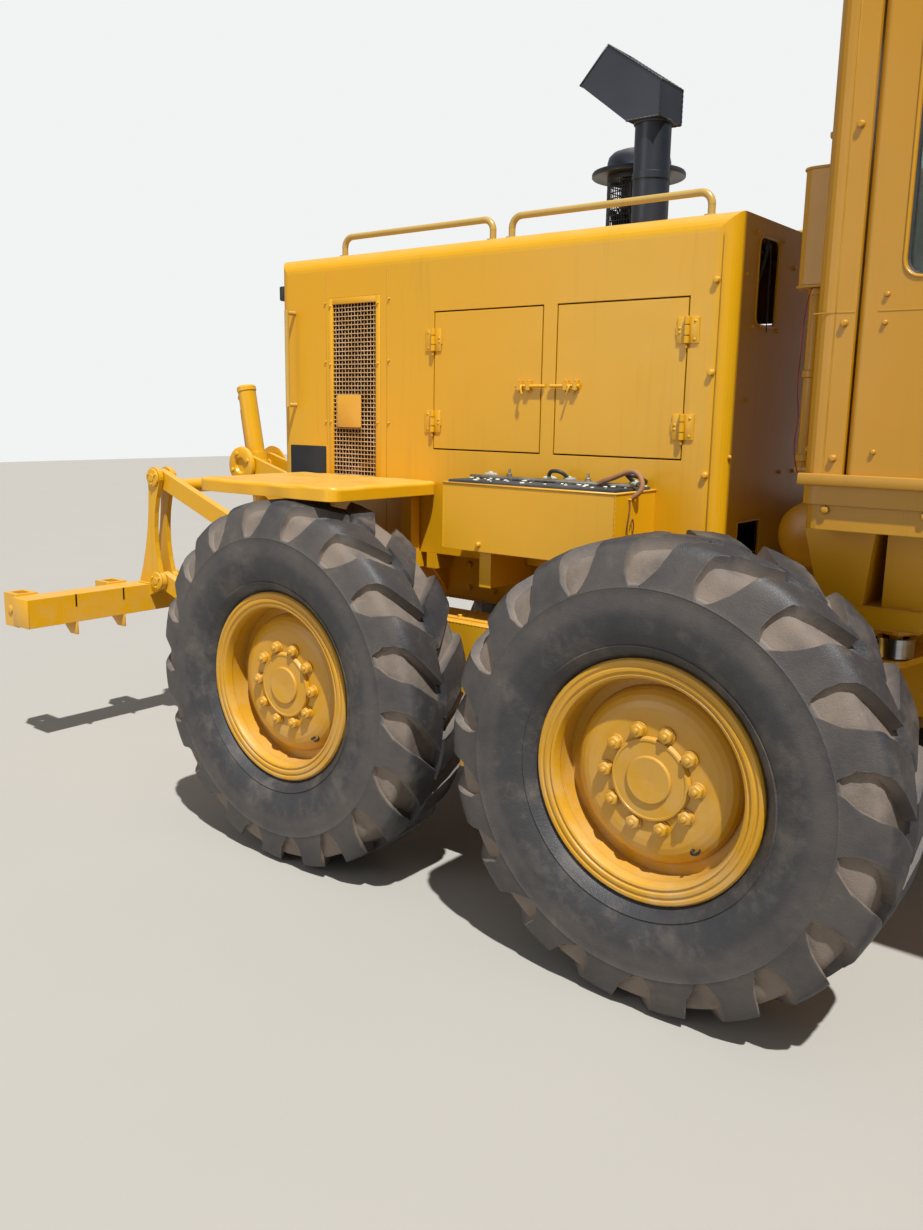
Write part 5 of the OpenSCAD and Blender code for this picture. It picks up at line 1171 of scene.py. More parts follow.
class GRADER_OT_rear(bpy.types.Operator):
    """Adds covers, plugs, bolts and welds to the tandem, the rear frame and the ripper"""
    bl_idname = "grader.rear"
    bl_label = "Tandem, rear frame and ripper"

    def execute(self, context):
        bolt = hex_bolt()
        pieces = []
        for side in (-1, 1):
            out = side * CASE_FACE
            # Chain case: a bolted cover over each sprocket, plugs and a top plate
            for x in (-TANDEM_HALF, TANDEM_HALF):
                r = 150
                pieces.append(lathe([(95, -1), (r + 20, -1), (r + 22, 3), (r + 18, 9), (95, 11)],
                        (x, out, TYRE_R), (0, side, 0), 48))
                pieces.append(bolt_ring(bolt, (x, out + side * 10, TYRE_R), r, (0, side, 0), 0.9,
                        even(8, 0.2)))
            for x, z in ((-330, 560), (330, 560), (0, 810)):
                pieces.append(lathe([(0.0, 14), (13, 14), (16, 11), (22, 9), (24, 0), (0.0, 0)],
                        (x, out, z), (0, side, 0), 20))
            mid = side * 668
            pieces.append(block((-610, mid - 62, 947), (610, mid + 62, 957), 3))
            pieces.append(bolted(bolt, (0, 0, 1), 0.8,
                    [(x, mid + s * 48, 957) for x in range(-560, 561, 160) for s in (-1, 1)]))
            pieces.append(weld([(x, out - side * 3, 949) for x in (-TANDEM_HALF, 0, TANDEM_HALF)], 4))
            hub = side * 561
            pieces.append(lathe([(170, 4), (225, 4), (229, 0), (229, -26), (170, -34)],
                    (0, hub - side * 6, TYRE_R), (0, -side, 0), 56))
        for side in (-1, 1):
            pieces.append(bolt_ring(bolt, (0, side * 151, TYRE_R), 198, (0, side, 0), 1.1, even(12)))
        fit(pieces, "tandem_fittings", "rear_body", YELLOW)
        # A thin steel line runs over each case from the frame
        for side, hand in SIDES:
            pipe_line = tube([(-90, side * 432, 1010), (-60, side * 470, 1006), (0, side * 540, 985),
                    (120, side * 640, 963), (300, side * 668, 962), (560, side * 668, 962)], 5, 10, 0.02)
            clips = [block((x - 8, side * 668 - 14, 955), (x + 8, side * 668 + 14, 970), 2)
                     for x in (210, 430, 556)]
            fit([pipe_line, *clips], "grease_line_" + hand, "rear_body", ZINC)
        # Rear frame: welds, bolts, gussets and the discs on the ripper's pins
        frame_parts = []
        for side in (-1, 1):
            y = side * RAIL_Y
            frame_parts += [weld([(-1500, y, 962), (630, y, 962)], 4),
                    weld([(-1540, y, 430), (-1540, y, 1140)], 4)]
            frame_parts.append(bolted(bolt, (0, side, 0), 1.1,
                    [(x, y, z) for x in (-1430, -1330, -420, -300, 120) for z in (1010, 1100)]))
            gusset = [(side * RAIL_Y, 1085), (side * 520, 1085), (side * RAIL_Y, 985)]
            frame_parts.append(outline_plate(gusset, "x", -540, -530, 1.5))
            frame_parts.append(bolted(bolt, (-1, 0, 0), 1.1,
                    [(-1540, side * yy, z) for yy in (180, 240) for z in (520, 700, 900)]))
            for z in (510, 1050):
                for inner in (320 - 25, 380 + 5):
                    face = side * (inner if inner < 320 else inner + 20)
                    frame_parts.append(lathe([(0.0, 12), (17, 12), (19, 9), (38, 7), (41, 4), (41, 0),
                            (0.0, 0)], (-1750, face, z), (0, side if inner > 320 else -side, 0), 28))
                frame_parts.append(weld([(-1542, side * 296, z - 70), (-1542, side * 296, z + 70)], 4))
        fit(frame_parts, "frame_fittings", "rear_body", YELLOW)
        # Ripper: pin discs, gussets along the beam, pocket welds and collars
        ripper = []
        for side, hand in SIDES:
            frame_disc = lathe([(0, 4), (34, 4), (42, 18), (82, 20), (92, 14), (96, 0), (0, 0)],
                    (-2180, side * 100, 1400), (0, side, 0), 40)
            lugs = [rod((-2180 + 64 * math.cos(a), side * 104, 1400 + 64 * math.sin(a)),
                        (-2180 + 64 * math.cos(a), side * 126, 1400 + 64 * math.sin(a)), 11, 16, 2)
                    for a in (0.4, 1.97, 3.54, 5.11)]
            fit([frame_disc, *lugs], "trunnion_cap_" + hand, "rear_body", YELLOW)
        for side in (-1, 1):
            for z in (790, 1330):
                for face, way in ((side * 402, side), (side * 298, -side)):
                    ripper.append(lathe([(0.0, 14), (18, 14), (21, 11), (44, 9), (48, 5), (48, 0),
                            (0.0, 0)], (-2530, face, z), (0, way, 0), 32))
                    ripper.append(bolt_ring(bolt, (-2530, face + way * 9, z), 33, (0, way, 0), 0.6,
                            (0.5, 2.6, 4.7)))
            for y in (side * 300, side * 400):
                ripper.append(weld([(-2690, y, 768), (-2606, y, 768)], 5))
            for y in (side * 560, side * 830):
                ripper.append(outline_plate([(-2600, 767), (-2600, 700), (-2700, 767)], "y", y - 6, y + 6,
                        1.5))
                ripper.append(outline_plate([(-2740, 625), (-2600, 625), (-2600, 560), (-2660, 560)], "y",
                        y - 6, y + 6, 1.5))
            ripper.append(outline_plate([(-2741, 624), (-2599, 624), (-2599, 766), (-2741, 766)], "y",
                    side * 1080, side * 1088, 2))
        for i in range(-2, 3):
            y = i * 505
            for s in (-1, 1):
                ripper.append(rod((-2800, y + s * 55, 695), (-2800, y + s * 62, 695), 20, 20, 1.5))
                ripper.append(weld([(-2741, y + s * 55, 612), (-2741, y + s * 55, 772)], 4))
        fit(ripper, "ripper_fittings", "ripper_beam", YELLOW)
        links = {"ripper_lower_link": [], "ripper_upper_link": []}
        for side in (-1, 1):
            for name, z in (("ripper_lower_link", 510), ("ripper_upper_link", 1050)):
                for s in (-1, 1):
                    y = side * 350 + s * 20
                    for t in (0.0, 1.0):
                        links[name].append(lathe([(26, 0), (42, 0), (42, 3), (38, 4.6), (26, 4.6)],
                                (-1750 - 780 * t, y, z + 280 * t), (0, s, 0), 32))
        fit(links["ripper_lower_link"], "lower_link_bosses", "ripper_lower_link", YELLOW)
        fit(links["ripper_upper_link"], "upper_link_bosses", "ripper_upper_link", YELLOW)
        # Cylinder: head, gland, ports and a steel pipe along the barrel
        top, eye = Vector((-2180, 0, 1400)), Vector((-2020, 0, 600))
        along = (eye - top).normalized()
        side_way = along.cross(Vector((0, 1, 0))).normalized()
        at = lambda t, r=0.0, y=0.0: tuple(top + along * t + side_way * r + Vector((0, y, 0)))
        place = (tuple(top), tuple(along), 36)
        head = [lathe([(26.5, 330), (49, 330), (52, 326), (52, 296), (48, 290), (46, 290)], *place),
                lathe([(0.0, -412), (40, -412), (49, -404), (50, -384), (46, -380), (0.0, -380)], *place),
                lathe([(60, -14), (64, -14), (64, 14), (60, 14)], *place)]
        for t in (-360, 270):
            head.append(rod(at(t, -40), at(t, -66), 13, 16, 2))
        line = tube([at(270, -62), at(262, -70), at(200, -68), at(0, -70), at(-200, -68), at(-300, -66)], 7,
                    10, 0.03)
        head.append(line)
        fit(head, "ripper_cylinder_head", "ripper_barrel", YELLOW)
        bpy.data.objects.remove(bolt)
        return {"FINISHED"}


class GRADER_OT_engine(bpy.types.Operator):
    """Adds the fan, manifolds and pipes that show through the openings, and the hitch pin's cap"""
    bl_idname = "grader.engine"
    bl_label = "Engine and hitch"

    def execute(self, context):
        bolt = hex_bolt()
        parts = []
        for side in (-1, 1):
            y = side * 290
            parts += [block((x, y, 1560), (x + 70, y + side * 40, 1640), 8) for x in range(-620, 340, 160)]
            manifold = tube([(-600, side * 345, 1650), (-300, side * 352, 1652), (40, side * 352, 1655),
                    (260, side * 345, 1665)], 34, 16, 0.05)
            parts.append(manifold)
            parts.append(bolted(bolt, (0, side, 0), 0.9,
                    [(x, y + side * 40, z) for x in range(-600, 340, 160) for z in (1572, 1628)]))
            parts.append(rod((-500, side * 300, 1400), (-500, side * 420, 1400), 60, 24, 4))
            parts.append(rod((-160, side * 290, 1380), (60, side * 330, 1380), 45, 24, 4))
            parts.append(block((-640, y, 1100), (380, y + side * 8, 1180), 4))
        parts.append(block((-660, -220, 1958), (400, 220, 2010), 14))
        parts.append(rod((140, -150, 2010), (140, -150, 2170), 58, 28, 3))
        fit(parts, "engine_dressing", "rear_body", DARK)
        fan = [rod((-800, 0, 1650), (-740, 0, 1650), 60, 24, 5)]
        for a in even(6):
            blade = block((-800, -45, 1700), (-795, 45, 2030), 2)
            centre = P(-797, 0, 1650)
            blade.data.transform(about(Matrix.Rotation(a, 4, "X") @ Matrix.Rotation(0.5, 4, "Z"), centre))
            fan.append(blade)
        fit(fan, "cooling_fan", "rear_body", DARK)
        pivot = [lathe([(0.0, 16), (30, 16), (36, 12), (62, 10), (66, 4), (66, 0), (0.0, 0)],
                (HITCH, 0, 1105), (0, 0, 1), 40)]
        pivot.append(bolt_ring(bolt, (HITCH, 0, 1115), 50, (0, 0, 1), 0.8, even(6)))
        fit(pivot, "hitch_pin_cap", "rear_body", YELLOW)
        bpy.data.objects.remove(bolt)
        return {"FINISHED"}


class GRADER_OT_cab(bpy.types.Operator):
    """Adds the cab's seams, bolts, window rubbers, mirrors, wipers, tank cap, pipe and controls"""
    bl_idname = "grader.cab"
    bl_label = "Cab"

    def execute(self, context):
        bolt = hex_bolt()
        trim, rubbers, parts = [], [], []
        for side, hand in SIDES:
            face = side * CAB_HALF
            # Seams across the side sheet, as thin strips in darker yellow that are painted shadow, with
            # their bolts
            for x0, x1 in ((988, 1098), (1888, 2420)):
                trim.append(block((x0, face - 0.9, 1958.2), (x1, face + 0.9, 1961.8), 0.5, 1))
            trim.append(block((1046, face - 0.9, 1540), (1049.5, face + 0.9, 3238), 0.5, 1))
            spots = ((1072, 1932), (1072, 2420), (1072, 2900), (1072, 1580), (2396, 1580), (2396, 2000),
                     (2396, 2600), (2396, 3150), (1930, 1600), (2180, 1600))
            parts.append(bolted(bolt, (0, side, 0), 0.85, [(x, face, z) for x, z in spots]))
            parts.append(block((985, face - side * 2, 1507), (2424, face + side * 20, 1538), 3))
            parts.append(bolted(bolt, (0, side, 0), 1.0,
                    [(x, side * 748, 1440) for x in range(1060, 2400, 260)]))
            rubbers.append(surround((1965, 1720), (2315, 3180), 40, "y", side * 738, 11))
            # Door: window rubber, glass, panel crease and latch plate with its lock
            door = "cab_door_" + hand
            gasket = surround((1213, 2043), (1792, 3092), 42, "y", side * 745, 9)
            finish(gasket, "door_rubber_" + hand, door, GASKET)
            pane = outline_plate(rounded((1209, 2039), (1796, 3096), 42), "y", side * 735, side * 741, 0)
            finish(pane, "door_glass_" + hand, door, PANE)
            crease = [surround((1209, 2039), (1796, 3096), 44, "y", side * 759, 5)]
            crease += [block((1156, face - 0.9, 1958), (1866, face + 0.9, 1961.5), 0.5, 1)]
            crease.append(outline_plate(rounded((1792, 1880), (1838, 2030), 10), "y", face - side,
                    face + side * 3, 1))
            crease.append(bolted(bolt, (0, side, 0), 0.5,
                    [(1815, face + side * 3, z) for z in (1888, 2022)]))
            crease.append(rod((1850, face - side * 2, 1955), (1850, face + side * 10, 1955), 11, 20, 2))
            crease.append(bolted(bolt, (0, side, 0), 0.6,
                    [(1176, face, z) for z in (1600, 1930, 2000, 3150)]))
            fit(crease, "door_fittings_" + hand, door, CAB)
            # Mirrors on bent arms beside the windscreen
            arm = tube([(2380, side * 758, 2900), (2390, side * 800, 2905), (2400, side * 880, 2890),
                        (2400, side * 900, 2860), (2400, side * 900, 2480), (2396, side * 880, 2450),
                        (2385, side * 800, 2440), (2378, side * 758, 2440)], 9, 12)
            shell = block((2384, side * 905 - 95, 2520), (2408, side * 905 + 95, 2810), 10, 3)
            fit([arm, shell], "mirror_" + hand, "front_body", PLASTIC)
            glass = block((2380, side * 905 - 86, 2530), (2385, side * 905 + 86, 2800), 2)
            finish(glass, "mirror_glass_" + hand, "front_body", MIRROR)
        for lo, hi, x in (((-560, 2450), (560, 3120), 986), ((-650, 2080), (650, 3160), 2423),
                ((170, 1640), (650, 2000), 2423), ((-650, 1640), (-170, 2000), 2423)):
            rubbers.append(surround(lo, hi, 40, "x", x, 10))
        fit(rubbers, "window_rubbers", "front_body", GASKET)
        fit(trim, "cab_seams", "front_body", SEAM_SHADOW)
        # Rear and front of the cab: panel bolts; roof: ribs and gutter
        parts.append(bolted(bolt, (-1, 0, 0), 0.85,
                [(985, y, z) for y in (-700, -350, 350, 700) for z in (1600, 2420, 3200)]))
        parts.append(bolted(bolt, (1, 0, 0), 0.85,
                [(2425, y, z) for y in (-720, -90, 90, 720) for z in (1600, 2040, 3215)]))
        parts += [outline_plate(rounded((1080, y - 40), (2330, y + 40), 30), "z", 3349, 3356, 2.5)
                  for y in (-480, -160, 160, 480)]
        parts.append(surround((962, -783), (2448, 783), 76, "z", 3282, 9))
        # Tank: filler cap with its bolts, straps and the pipe that stands beside it
        parts.append(lathe([(0.0, 2409), (22, 2409), (28, 2406), (33, 2400), (41, 2399), (42, 2390),
                (41, 2372), (0.0, 2372)], (925, -420, 0), (0, 0, 1), 32))
        parts.append(bolt_ring(bolt, (925, -420, 2370), 54, (0, 0, 1), 0.7,
                (0.3, 1.35, 2.4, 3.4, 4.5, 5.5)))
        parts.append(lathe([(38, 2370), (64, 2370), (64, 2375), (60, 2377), (38, 2377)], (925, -420, 0),
                (0, 0, 1), 36))
        parts += [block((864, y - 16, 2046), (984, y + 16, 2051), 2) for y in (-480, 480)]
        parts.append(surround((866, -601), (984, 601), 35, "z", 2052, 5))
        parts.append(surround((866, -601), (984, 601), 35, "z", 2368, 4))
        parts.append(rod((922, -560, 1540), (922, -560, 2052), 22, 24, 2))
        parts += [lathe([(22, z), (27, z + 2), (27, z + 20), (22, z + 22)], (922, -560, 0), (0, 0, 1), 28)
                  for z in (2028, 1800, 1560)]
        parts.append(block((900, -584, 1530), (988, -536, 1546), 4))
        # Reservoir: dished ends' rims, straps, a drain cock
        for y in (-200, 200):
            parts.append(lathe([(105, -18), (108, -18), (108, 18), (105, 18)], (877, y, 1320), (0, 1, 0),
                    40))
        for s in (-1, 1):
            parts.append(lathe([(105.5, -16), (107, -14), (107, 4), (101, 16), (84, 26), (40, 35),
                    (0.0, 38), (0.0, -1), (98, -1), (98, -16)], (877, s * 330, 1320), (0, s, 0), 40))
        parts.append(rod((877, -120, 1216), (877, -120, 1196), 8, 12, 1.5))
        fit(parts, "cab_fittings", "front_body", CAB)
        wire, path = cord([(935, -588, 2060), (915, -600, 2040), (905, -607, 1960), (902, -606, 1860),
                (898, -600, 1770), (908, -603, 1690), (904, -606, 1610), (912, -600, 1545),
                (930, -592, 1514), (960, -585, 1506)], 2.0, 8, 0.02)
        finish(wire, "cab_wire", "front_body", RED_WIRE)
        # Wipers, one on the windscreen and one on the rear window
        wipers = []
        for x, way, y0, z0 in ((2434, 1, 60, 2110), (975, -1, 40, 2480)):
            wipers.append(rod((x - way * 12, y0, z0), (x + way * 6, y0, z0), 12, 16, 2))
            arm = tube([(x + way * 3, y0, z0), (x + way * 8, y0 - 60, z0 + 130),
                        (x + way * 4, y0 - 150, z0 + 330)], 4.5, 8, 0.03)
            rubber_blade = block((x - way * 1 - 2, y0 - 156, z0 + 110),
                    (x - way * 1 + 4, y0 - 144, z0 + 560), 1.2)
            wipers += [arm, rubber_blade]
        fit(wipers, "wipers", "front_body", PLASTIC)
        # Controls: knobs, pedals, gauges with plain faces and a ribbed mat
        inside = []
        for side in (-1, 1):
            for i in range(4):
                y = side * (195 + i * 60)
                inside.append(lathe([(0.0, 34), (11, 30), (17, 18), (16, 4), (10, -10), (7, -14),
                        (0.0, -14)], (2075 + 30, y, 2330), (-0.2, 0, 1), 20))
                inside.append(lathe([(7, 0), (20, 0), (17, 8), (11, 22), (8, 30), (7, 30)], (2165, y, 2058),
                        (-0.2, 0, 1), 20))
        for y in (-95, 0, 95):
            inside.append(outline_plate(rounded((-32 + y, 1560), (32 + y, 1670), 10), "x", 2098, 2108, 2.5))
            inside += [block((2093, y - 28, z), (2099, y + 28, z + 7), 1) for z in range(1570, 1660, 17)]
        inside += [block((1330, y, 1520.5), (2080, y + 7, 1525), 1.5, 1) for y in range(-560, 561, 40)
                   if abs(y) > 200]
        fit(inside, "control_knobs", "front_body", PLASTIC)
        dials = [lathe([(0.0, 4), (30, 4), (34, 8), (37, 7), (38, 0), (0.0, 0)], (2140, y, 2113),
                (-0.45, 0, 1), 28) for y in (-100, 0, 100)]
        fit(dials, "gauges", "front_body", LENS)
        bpy.data.objects.remove(bolt)
        return {"FINISHED"}


def plump(obj, cap, quick_shape):
    """Swells a closed pad with the cloth solver, and holds every point within cap millimetres."""
    modify(obj, "REMESH", mode="VOXEL", voxel_size=0.011)
    if quick_shape:
        return soften(obj, 0, angle=60)
    before = np.zeros(len(obj.data.vertices) * 3)
    obj.data.vertices.foreach_get("co", before)
    pick(obj)
    step = obj.modifiers.new("Cloth", "CLOTH")
    step.settings.use_pressure = True
    step.settings.uniform_pressure_force = 4
    step.settings.effector_weights.gravity = 0
    step.settings.quality = 4
    scene = bpy.context.scene
    for number in range(1, 19):
        scene.frame_set(number)
    bpy.ops.object.modifier_apply(modifier=step.name)
    scene.frame_set(1)
    after = np.zeros(len(before))
    obj.data.vertices.foreach_get("co", after)
    move = (after - before).reshape(-1, 3)
    far = np.linalg.norm(move, axis=1, keepdims=True)
    limit = cap * MM
    move *= np.where(far > limit, limit / np.maximum(far, 1e-9), 1)
    obj.data.vertices.foreach_set("co", (before + move.ravel()))
    obj.data.update()
    modify(obj, "SUBSURF", levels=1, render_levels=1)
    return soften(obj, 0, angle=60)


class GRADER_OT_seat(bpy.types.Operator):
    """Makes the operator's seat: two swollen cloth pads with piping, a pan, arm rests and a sprung base"""
    bl_idname = "grader.seat"
    bl_label = "Seat"

    def execute(self, context):
        quick_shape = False
        cushion = outline_plate(rounded((1340, 1800), (1822, 1912), 44, 6), "y", -240, 240, 26)
        cushion = plump(cushion, 12, quick_shape)
        foot = P(1370, 0, 1915)
        lean = about(Matrix.Rotation(math.radians(-12), 4, "Y"), foot)
        back = outline_plate(rounded((1318, 1925), (1412, 2525), 42, 6), "y", -230, 230, 24)
        back.data.transform(lean)
        back = plump(back, 12, quick_shape)
        finish(cushion, "seat_cushion", "front_body", CLOTH)
        finish(back, "seat_back", "front_body", CLOTH)
        piping = surround((1343, -243), (1826, 243), 36, "z", 1897, 5.5)
        finish(piping, "cushion_piping", "front_body", GASKET)
        loop = [(1420, a, b) for b, a in rounded((1935, -231), (2515, 231), 40)]
        welt = pipe([lean @ P(x, y, z) for x, y, z in loop], 5.5, 8, closed=True)
        finish(welt, "back_piping", "front_body", GASKET)
        base = [block((1400, -185, 1520.5), (1740, 185, 1545), 4),
                block((1385, -215, 1768), (1800, 215, 1796), 8)]
        base += [rod((1430, y, 1545), (1720, y, 1768), 11, 12) for y in (-150, 150)]
        base += [rod((1720, y, 1545), (1430, y, 1768), 11, 12) for y in (-150, 150)]
        for i in range(11):
            r = 150 + (10 if i % 2 else 0)
            z = 1550 + i * 20
            base.append(outline_plate(rounded((1575 - r, -r), (1575 + r, r), 24), "z", z, z + 19, 6))
        for side in (-1, 1):
            base.append(block((1392, side * 275 - 24, 2080), (1680, side * 275 + 24, 2122), 14, 3))
            base.append(rod((1400, side * 262, 1880), (1410, side * 262, 2085), 10, 12))
            base.append(rod((1400, side * 240, 1880), (1400, side * 266, 1880), 9, 12))
        fit(base, "seat_base", "front_body", PLASTIC)
        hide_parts("seat")
        return {"FINISHED"}


class GRADER_OT_front(bpy.types.Operator):
    """Adds bolts, welds, lamps, circle teeth, the cutting edge and cylinder heads to the front"""
    bl_idname = "grader.front"
    bl_label = "Front frame, circle and blade"

    def execute(self, context):
        bolt = hex_bolt()
        main = []
        for side in (-1, 1):
            y = side * 150
            for line in ([(2740, 1562), (4640, 1562), (5370, 1122), (5650, 1062)],
                         [(2810, 1898), (4780, 1898), (5560, 1398), (5790, 1178)]):
                main.append(weld([(x, y, z) for x, z in line], 5))
            main.append(bolted(bolt, (0, side, 0), 1.5,
                    [(x, y, z) for x in (5700, 5800, 5960) for z in (760, 900, 1040)]))
            main.append(bolted(bolt, (0, 0, 1), 1.4,
                    [(3390 + dx, side * yy, 1960) for dx in (40, 110) for yy in (190, 300)]))
            main.append(weld([(1020, side * 200, 1238), (2040, side * 200, 1238)], 5))
            for z in (1102, 1161):
                main.append(weld([(1046, side * 600, z), (1302, side * 600, z)], 3))
            main.append(outline_plate(rounded((4200, 1640), (4420, 1820), 20), "y", y, y + side * 8, 2))
            main.append(bolted(bolt, (0, side, 0), 0.8,
                    [(x, y + side * 8, z) for x in (4216, 4404) for z in (1656, 1804)]))
        main += [lathe([(0.0, 12), (26, 12), (30, 8), (30, 0), (0.0, 0)], (6000, y, 940), (1, 0, 0), 28)
                 for y in (-80, 80)]
        hook = tube([(6000, 0, 1100), (6042, 0, 1100), (6056, 0, 1080), (6048, 0, 1054), (6024, 0, 1050)],
                    14, 12, 0.01)
        main.append(hook)
        fit(main, "frame_details", "front_body", YELLOW)
        # Lamps: bezel, lens and bracket bolts
        lenses, bezels = [], []
        spots = [((2365 + 45, s * 650, 3445), 1, 62) for s in (-1, 1)]
        spots += [((1045 - 45, s * 650, 3445), -1, 62) for s in (-1, 1)]
        spots += [((5655, s * 290, 1330), 1, 85) for s in (-1, 1)]
        for (x, y, z), way, r in spots:
            bezels.append(lathe([(r - 7, 0), (r + 1, 0), (r + 3, -3), (r + 3, -14), (r, -18), (r - 7, -18)],
                    (x + way * 4, y, z), (way, 0, 0), 40))
            lenses.append(lathe([(0.0, 7), (r * 0.5, 6), (r * 0.85, 3), (r - 5, -1), (r - 5, -4),
                    (0.0, -4)], (x + way * 3, y, z), (way, 0, 0), 40))
        fit(bezels, "lamp_bezels", "front_body", PLASTIC)
        fit(lenses, "lamp_lenses", "front_body", LENS)
        # Front axle
        axle = [weld([(5827, 470, 682), (5827, -470, 682)], 5)]
        for s in (-1, 1):
            for x, way in ((FRONT_AXLE - 91, -1), (FRONT_AXLE + 91, 1)):
                axle.append(lathe([(0.0, 9), (16, 9), (19, 7), (36, 6), (38, 3), (38, 0), (0.0, 0)],
                        (x, s * 600, 620), (way, 0, 0), 28))
            axle.append(bolted(bolt, (0, 0, 1), 1.2, [(x, s * 470, 680) for x in (5870, 5970)]))
        fit(axle, "axle_fittings", "front_body", YELLOW)
        for s, hand in SIDES:
            knuckle = [lathe([(0.0, 10), (20, 10), (24, 7), (40, 6), (44, 2), (44, 0), (0.0, 0)],
                    (FRONT_AXLE, s * 700, 820), (0, 0, 1), 28)]
            knuckle.append(bolt_ring(bolt, (FRONT_AXLE, s * 700, 826), 33, (0, 0, 1), 0.6,
                    (0.4, 1.97, 3.54, 5.1)))
            fit(knuckle, "kingpin_cap_" + hand, "knuckle_" + hand, YELLOW)
        # Circle: internal teeth on the ring's lower edge, and the drive's bolts
        teeth = []
        tooth = outline_plate([(680, -13), (680, 13), (661, 7), (661, -7)], "z", 897, 960, 1.5)
        tooth.data.transform(Matrix.Translation(-P(0, 0, 0)))
        for i in range(96):
            copy = tooth.copy()
            copy.data = tooth.data.copy()
            context.collection.objects.link(copy)
            turn = Matrix.Rotation(2 * math.pi * i / 96, 4, "Z")
            copy.data.transform(Matrix.Translation(P(3420, 0, 0)) @ turn)
            teeth.append(copy)
        bpy.data.objects.remove(tooth)
        fit(teeth, "circle_teeth", "circle", WORN)
        drive = [bolt_ring(bolt, (3920, 0, 1170), 86, (0, 0, 1), 1.1, even(8))]
        drive.append(bolted(bolt, (0, 0, 1), 1.3,
                [(x, y, 1030) for x in (3790, 4050) for y in (-160, 160)]))
        drive += [lathe([(0.0, 8), (16, 8), (20, 6), (34, 5), (36, 2), (36, 0), (0.0, 0)],
                (3250, s * (520 + w), 1080), (0, s * (1 if w > 0 else -1), 0), 24) for s in (-1, 1)
                for w in (62, -62)]
        drive.append(weld([(4749, -68, 1090), (4749, 68, 1090)], 4))
        fit(drive, "drawbar_fittings", "drawbar", YELLOW)
        # Blade: a cutting edge in four lengths on plough bolts, end plates, and bolts on the back
        low = math.radians(180 + 44.5)
        edge_parts = []
        for y0, y1 in ((-1820, -914), (-912, -2), (2, 912), (914, 1820)):
            ring = []
            for i in range(7):
                a = low - math.radians(21 * i / 6)
                ring.append(arc(EDGE_R, a))
            inner = [arc(EDGE_R - 16, low - math.radians(21 * i / 6)) for i in range(6, -1, -1)]
            edge_parts.append(outline_plate([*ring, *inner], "y", y0, y1, 2))
        for y in range(-1760, 1800, 152):
            for back in (6.0, 15.5):
                a = low - math.radians(back)
                (x0, z0), (x1, z1) = arc(398, a), arc(394, a)
                edge_parts.append(rod((x0, y, z0), (x1, y, z1), 11, 14, 1))
        fit(edge_parts, "cutting_edge", "moldboard", WORN)
        cleats = []
        for y in (-1820, 1820):
            s = 1 if y > 0 else -1
            angles = [math.radians(180 + d) for d in (-43, -30, -15, 0, 15, 30, 43)]
            ring = [arc(BACK_R, a) for a in angles]
            inner = [(x - 16, z) for x, z in ring[::-1]]
            cleats.append(outline_plate(ring + inner, "y", y, y - s * 14, 2))
        a = low - math.radians(11)
        x, z = arc(BACK_R, a)
        outward = (math.cos(a), 0, math.sin(a))
        cleats.append(stamped(bolt, [((x, y, z), outward, 1.1) for y in range(-1760, 1800, 152)]))
        fit(cleats, "blade_back_fittings", "moldboard", YELLOW)
        # Cylinder heads, ports and pipes of the blade lift, articulation and lean cylinders
        cylinders = (("lift", "lift_barrels", (3520, 520, 2000), (3250, 520, 1080), (-640, 480), 58, 30.5,
                      (1, -1)), ("articulation_left", "articulation_barrel_left", (250, 605, 1030),
                (1200, 460, 1030), (60, 490), 40, 23.5, (1,)),
                ("articulation_right", "articulation_barrel_right", (250, -605, 1030), (1200, -460, 1030),
                 (60, 490), 40, 23.5, (1,)),
                ("lean", "front_body", (6060, -430, 760), (6060, 600, 800), (60, 640), 36, 18.5, (1,)))
        for name, body, root, eye, ends, r, hole, hands in cylinders:
            made = []
            for hand in hands:
                top, end = Vector(root), Vector(eye)
                top.y, end.y = top.y * hand, end.y * hand
                along = (end - top).normalized()
                # Pipes lie on top, but under the hitch's cylinders, which swing below an arm of the frame
                hitch = name.startswith("articulation")
                off = Vector((0, 0, -1 if hitch else 1)) if abs(along.z) < 0.5 else Vector((1, 0, 0))
                off = (off - along * off.dot(along)).normalized()
                # The steering cylinders of the hitch pass close to the frame, so their gland is nearly flush
                lip = 1 if hitch else 5
                rear_port = ends[0] + (150 if hitch else 40)
                made.append(lathe([(hole, ends[1]), (r + lip - 1, ends[1]), (r + lip, ends[1] - 4),
                        (r + lip, ends[1] - 34), (r + 0.5, ends[1] - 40), (r - 1, ends[1] - 40)],
                        tuple(top), tuple(along), 36))
                at = lambda t, d: tuple(top + along * t + off * d)
                for t in (rear_port, ends[1] - 60):
                    made.append(rod(at(t, r - 4), at(t, r + 16), 11, 14, 2))
                span = ends[1] - ends[0] - 100
                line = tube([at(ends[1] - 60, r + 12), at(ends[1] - 68, r + 18), at(ends[1] - 90, r + 18),
                             at(ends[1] - 60 - span * 0.5, r + 18), at(rear_port + 30, r + 18),
                             at(rear_port + 4, r + 12)], 6, 10, 0.03)
                made.append(line)
            fit(made, name + "_cylinder_head", body, YELLOW)
        bpy.data.objects.remove(bolt)
        return {"FINISHED"}


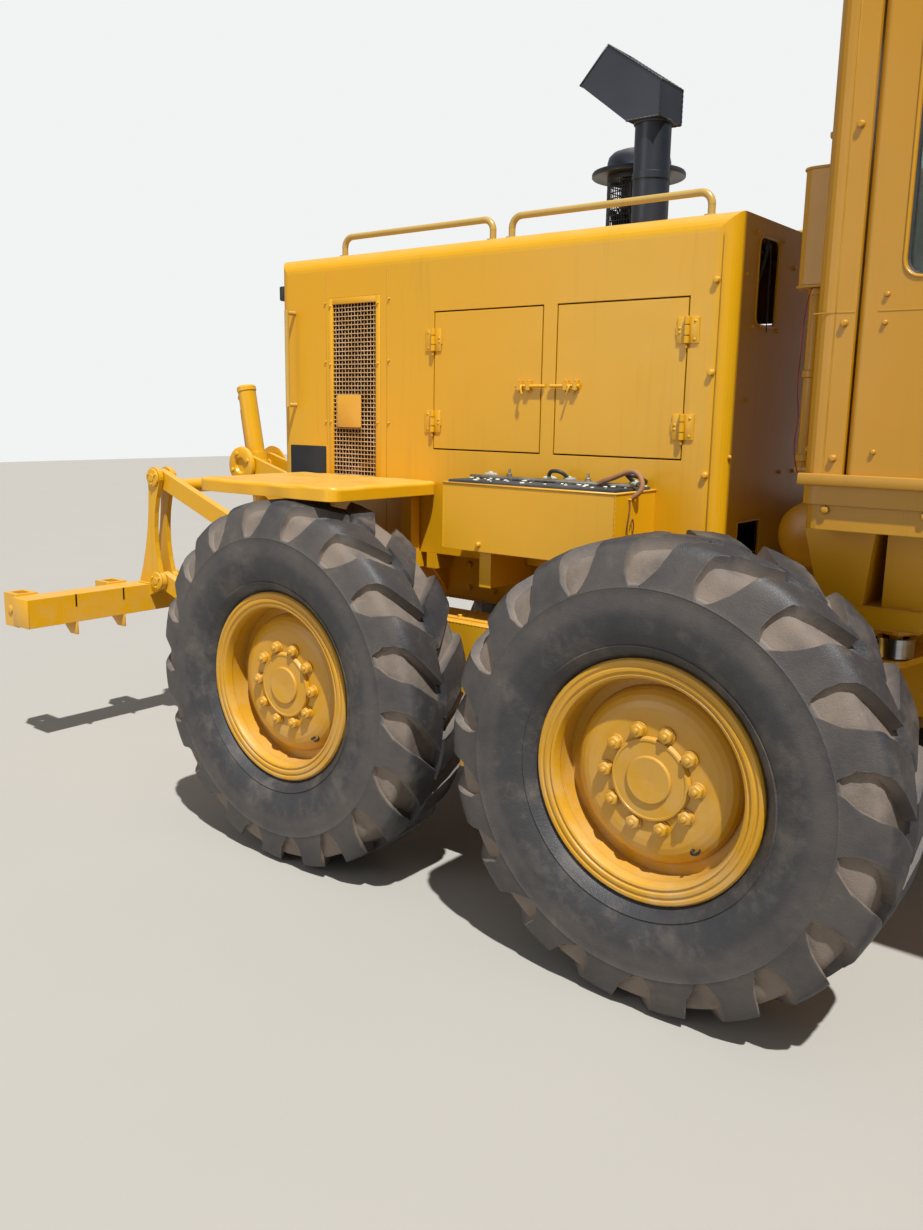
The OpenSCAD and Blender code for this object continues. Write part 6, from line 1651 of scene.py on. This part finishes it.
class GRADER_OT_finishes(bpy.types.Operator):
    """Gives every solid of the model its finish"""
    bl_idname = "grader.finishes"
    bl_label = "Finishes of the solids"

    def execute(self, context):
        own = {"engine": DARK, "batteries": PLASTIC, "exhaust_stack": BLACK, "precleaner": BLACK,
               "grilles": SHADE, "hydraulic_tank": CAB, "cab_shell": CAB, "cab_door_right": CAB,
               "cab_door_left": CAB, "lamps": BLACK, "cab_glass": PANE, "cab_interior": PLASTIC,
               "seat": CLOTH, "tie_rod_end": ZINC, "tie_rod": BLACK, "lean_rod": CHROME,
               "lift_rods": CHROME, "ripper_rod": CHROME, "articulation_rod_right": CHROME,
               "articulation_rod_left": CHROME, "hood_rails": RAILS}
        for name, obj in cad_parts.items():
            kind = own.get(name, YELLOW)
            if name.startswith("tyre_"):
                kind = RUBBER
            elif name.startswith("wheel_"):
                kind = HUB
            obj.data.materials.clear()
            obj.data.materials.append(kind)
        return {"FINISHED"}


class GRADER_PT_panel(bpy.types.Panel):
    """Lists the steps that dress the grader"""
    bl_idname = "GRADER_PT_panel"
    bl_label = "Motor grader"
    bl_space_type = "VIEW_3D"
    bl_region_type = "UI"
    bl_category = "Grader"

    def draw(self, context):
        values = context.scene.grader_sizes
        for name in GraderSizes.__annotations__:
            self.layout.prop(values, name)
        for step in STEPS:
            self.layout.operator(step.bl_idname)


STEPS = (GRADER_OT_stage, GRADER_OT_finishes, GRADER_OT_battery_box, GRADER_OT_hood, GRADER_OT_cab,
         GRADER_OT_tyres, GRADER_OT_wheels, GRADER_OT_screens, GRADER_OT_stack, GRADER_OT_fenders,
         GRADER_OT_rear, GRADER_OT_engine, GRADER_OT_seat, GRADER_OT_front)
CLASSES = (GraderSizes, *STEPS, GRADER_PT_panel)


def register():
    for cls in CLASSES:
        bpy.utils.register_class(cls)
    bpy.types.Scene.grader_sizes = bpy.props.PointerProperty(type=GraderSizes)


def unregister():
    del bpy.types.Scene.grader_sizes
    for cls in reversed(CLASSES):
        bpy.utils.unregister_class(cls)


def main():
    register()
    for step in STEPS:
        group, call = step.bl_idname.split(".")
        getattr(getattr(bpy.ops, group), call)()
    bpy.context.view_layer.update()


if __name__ == "__main__":
    main()
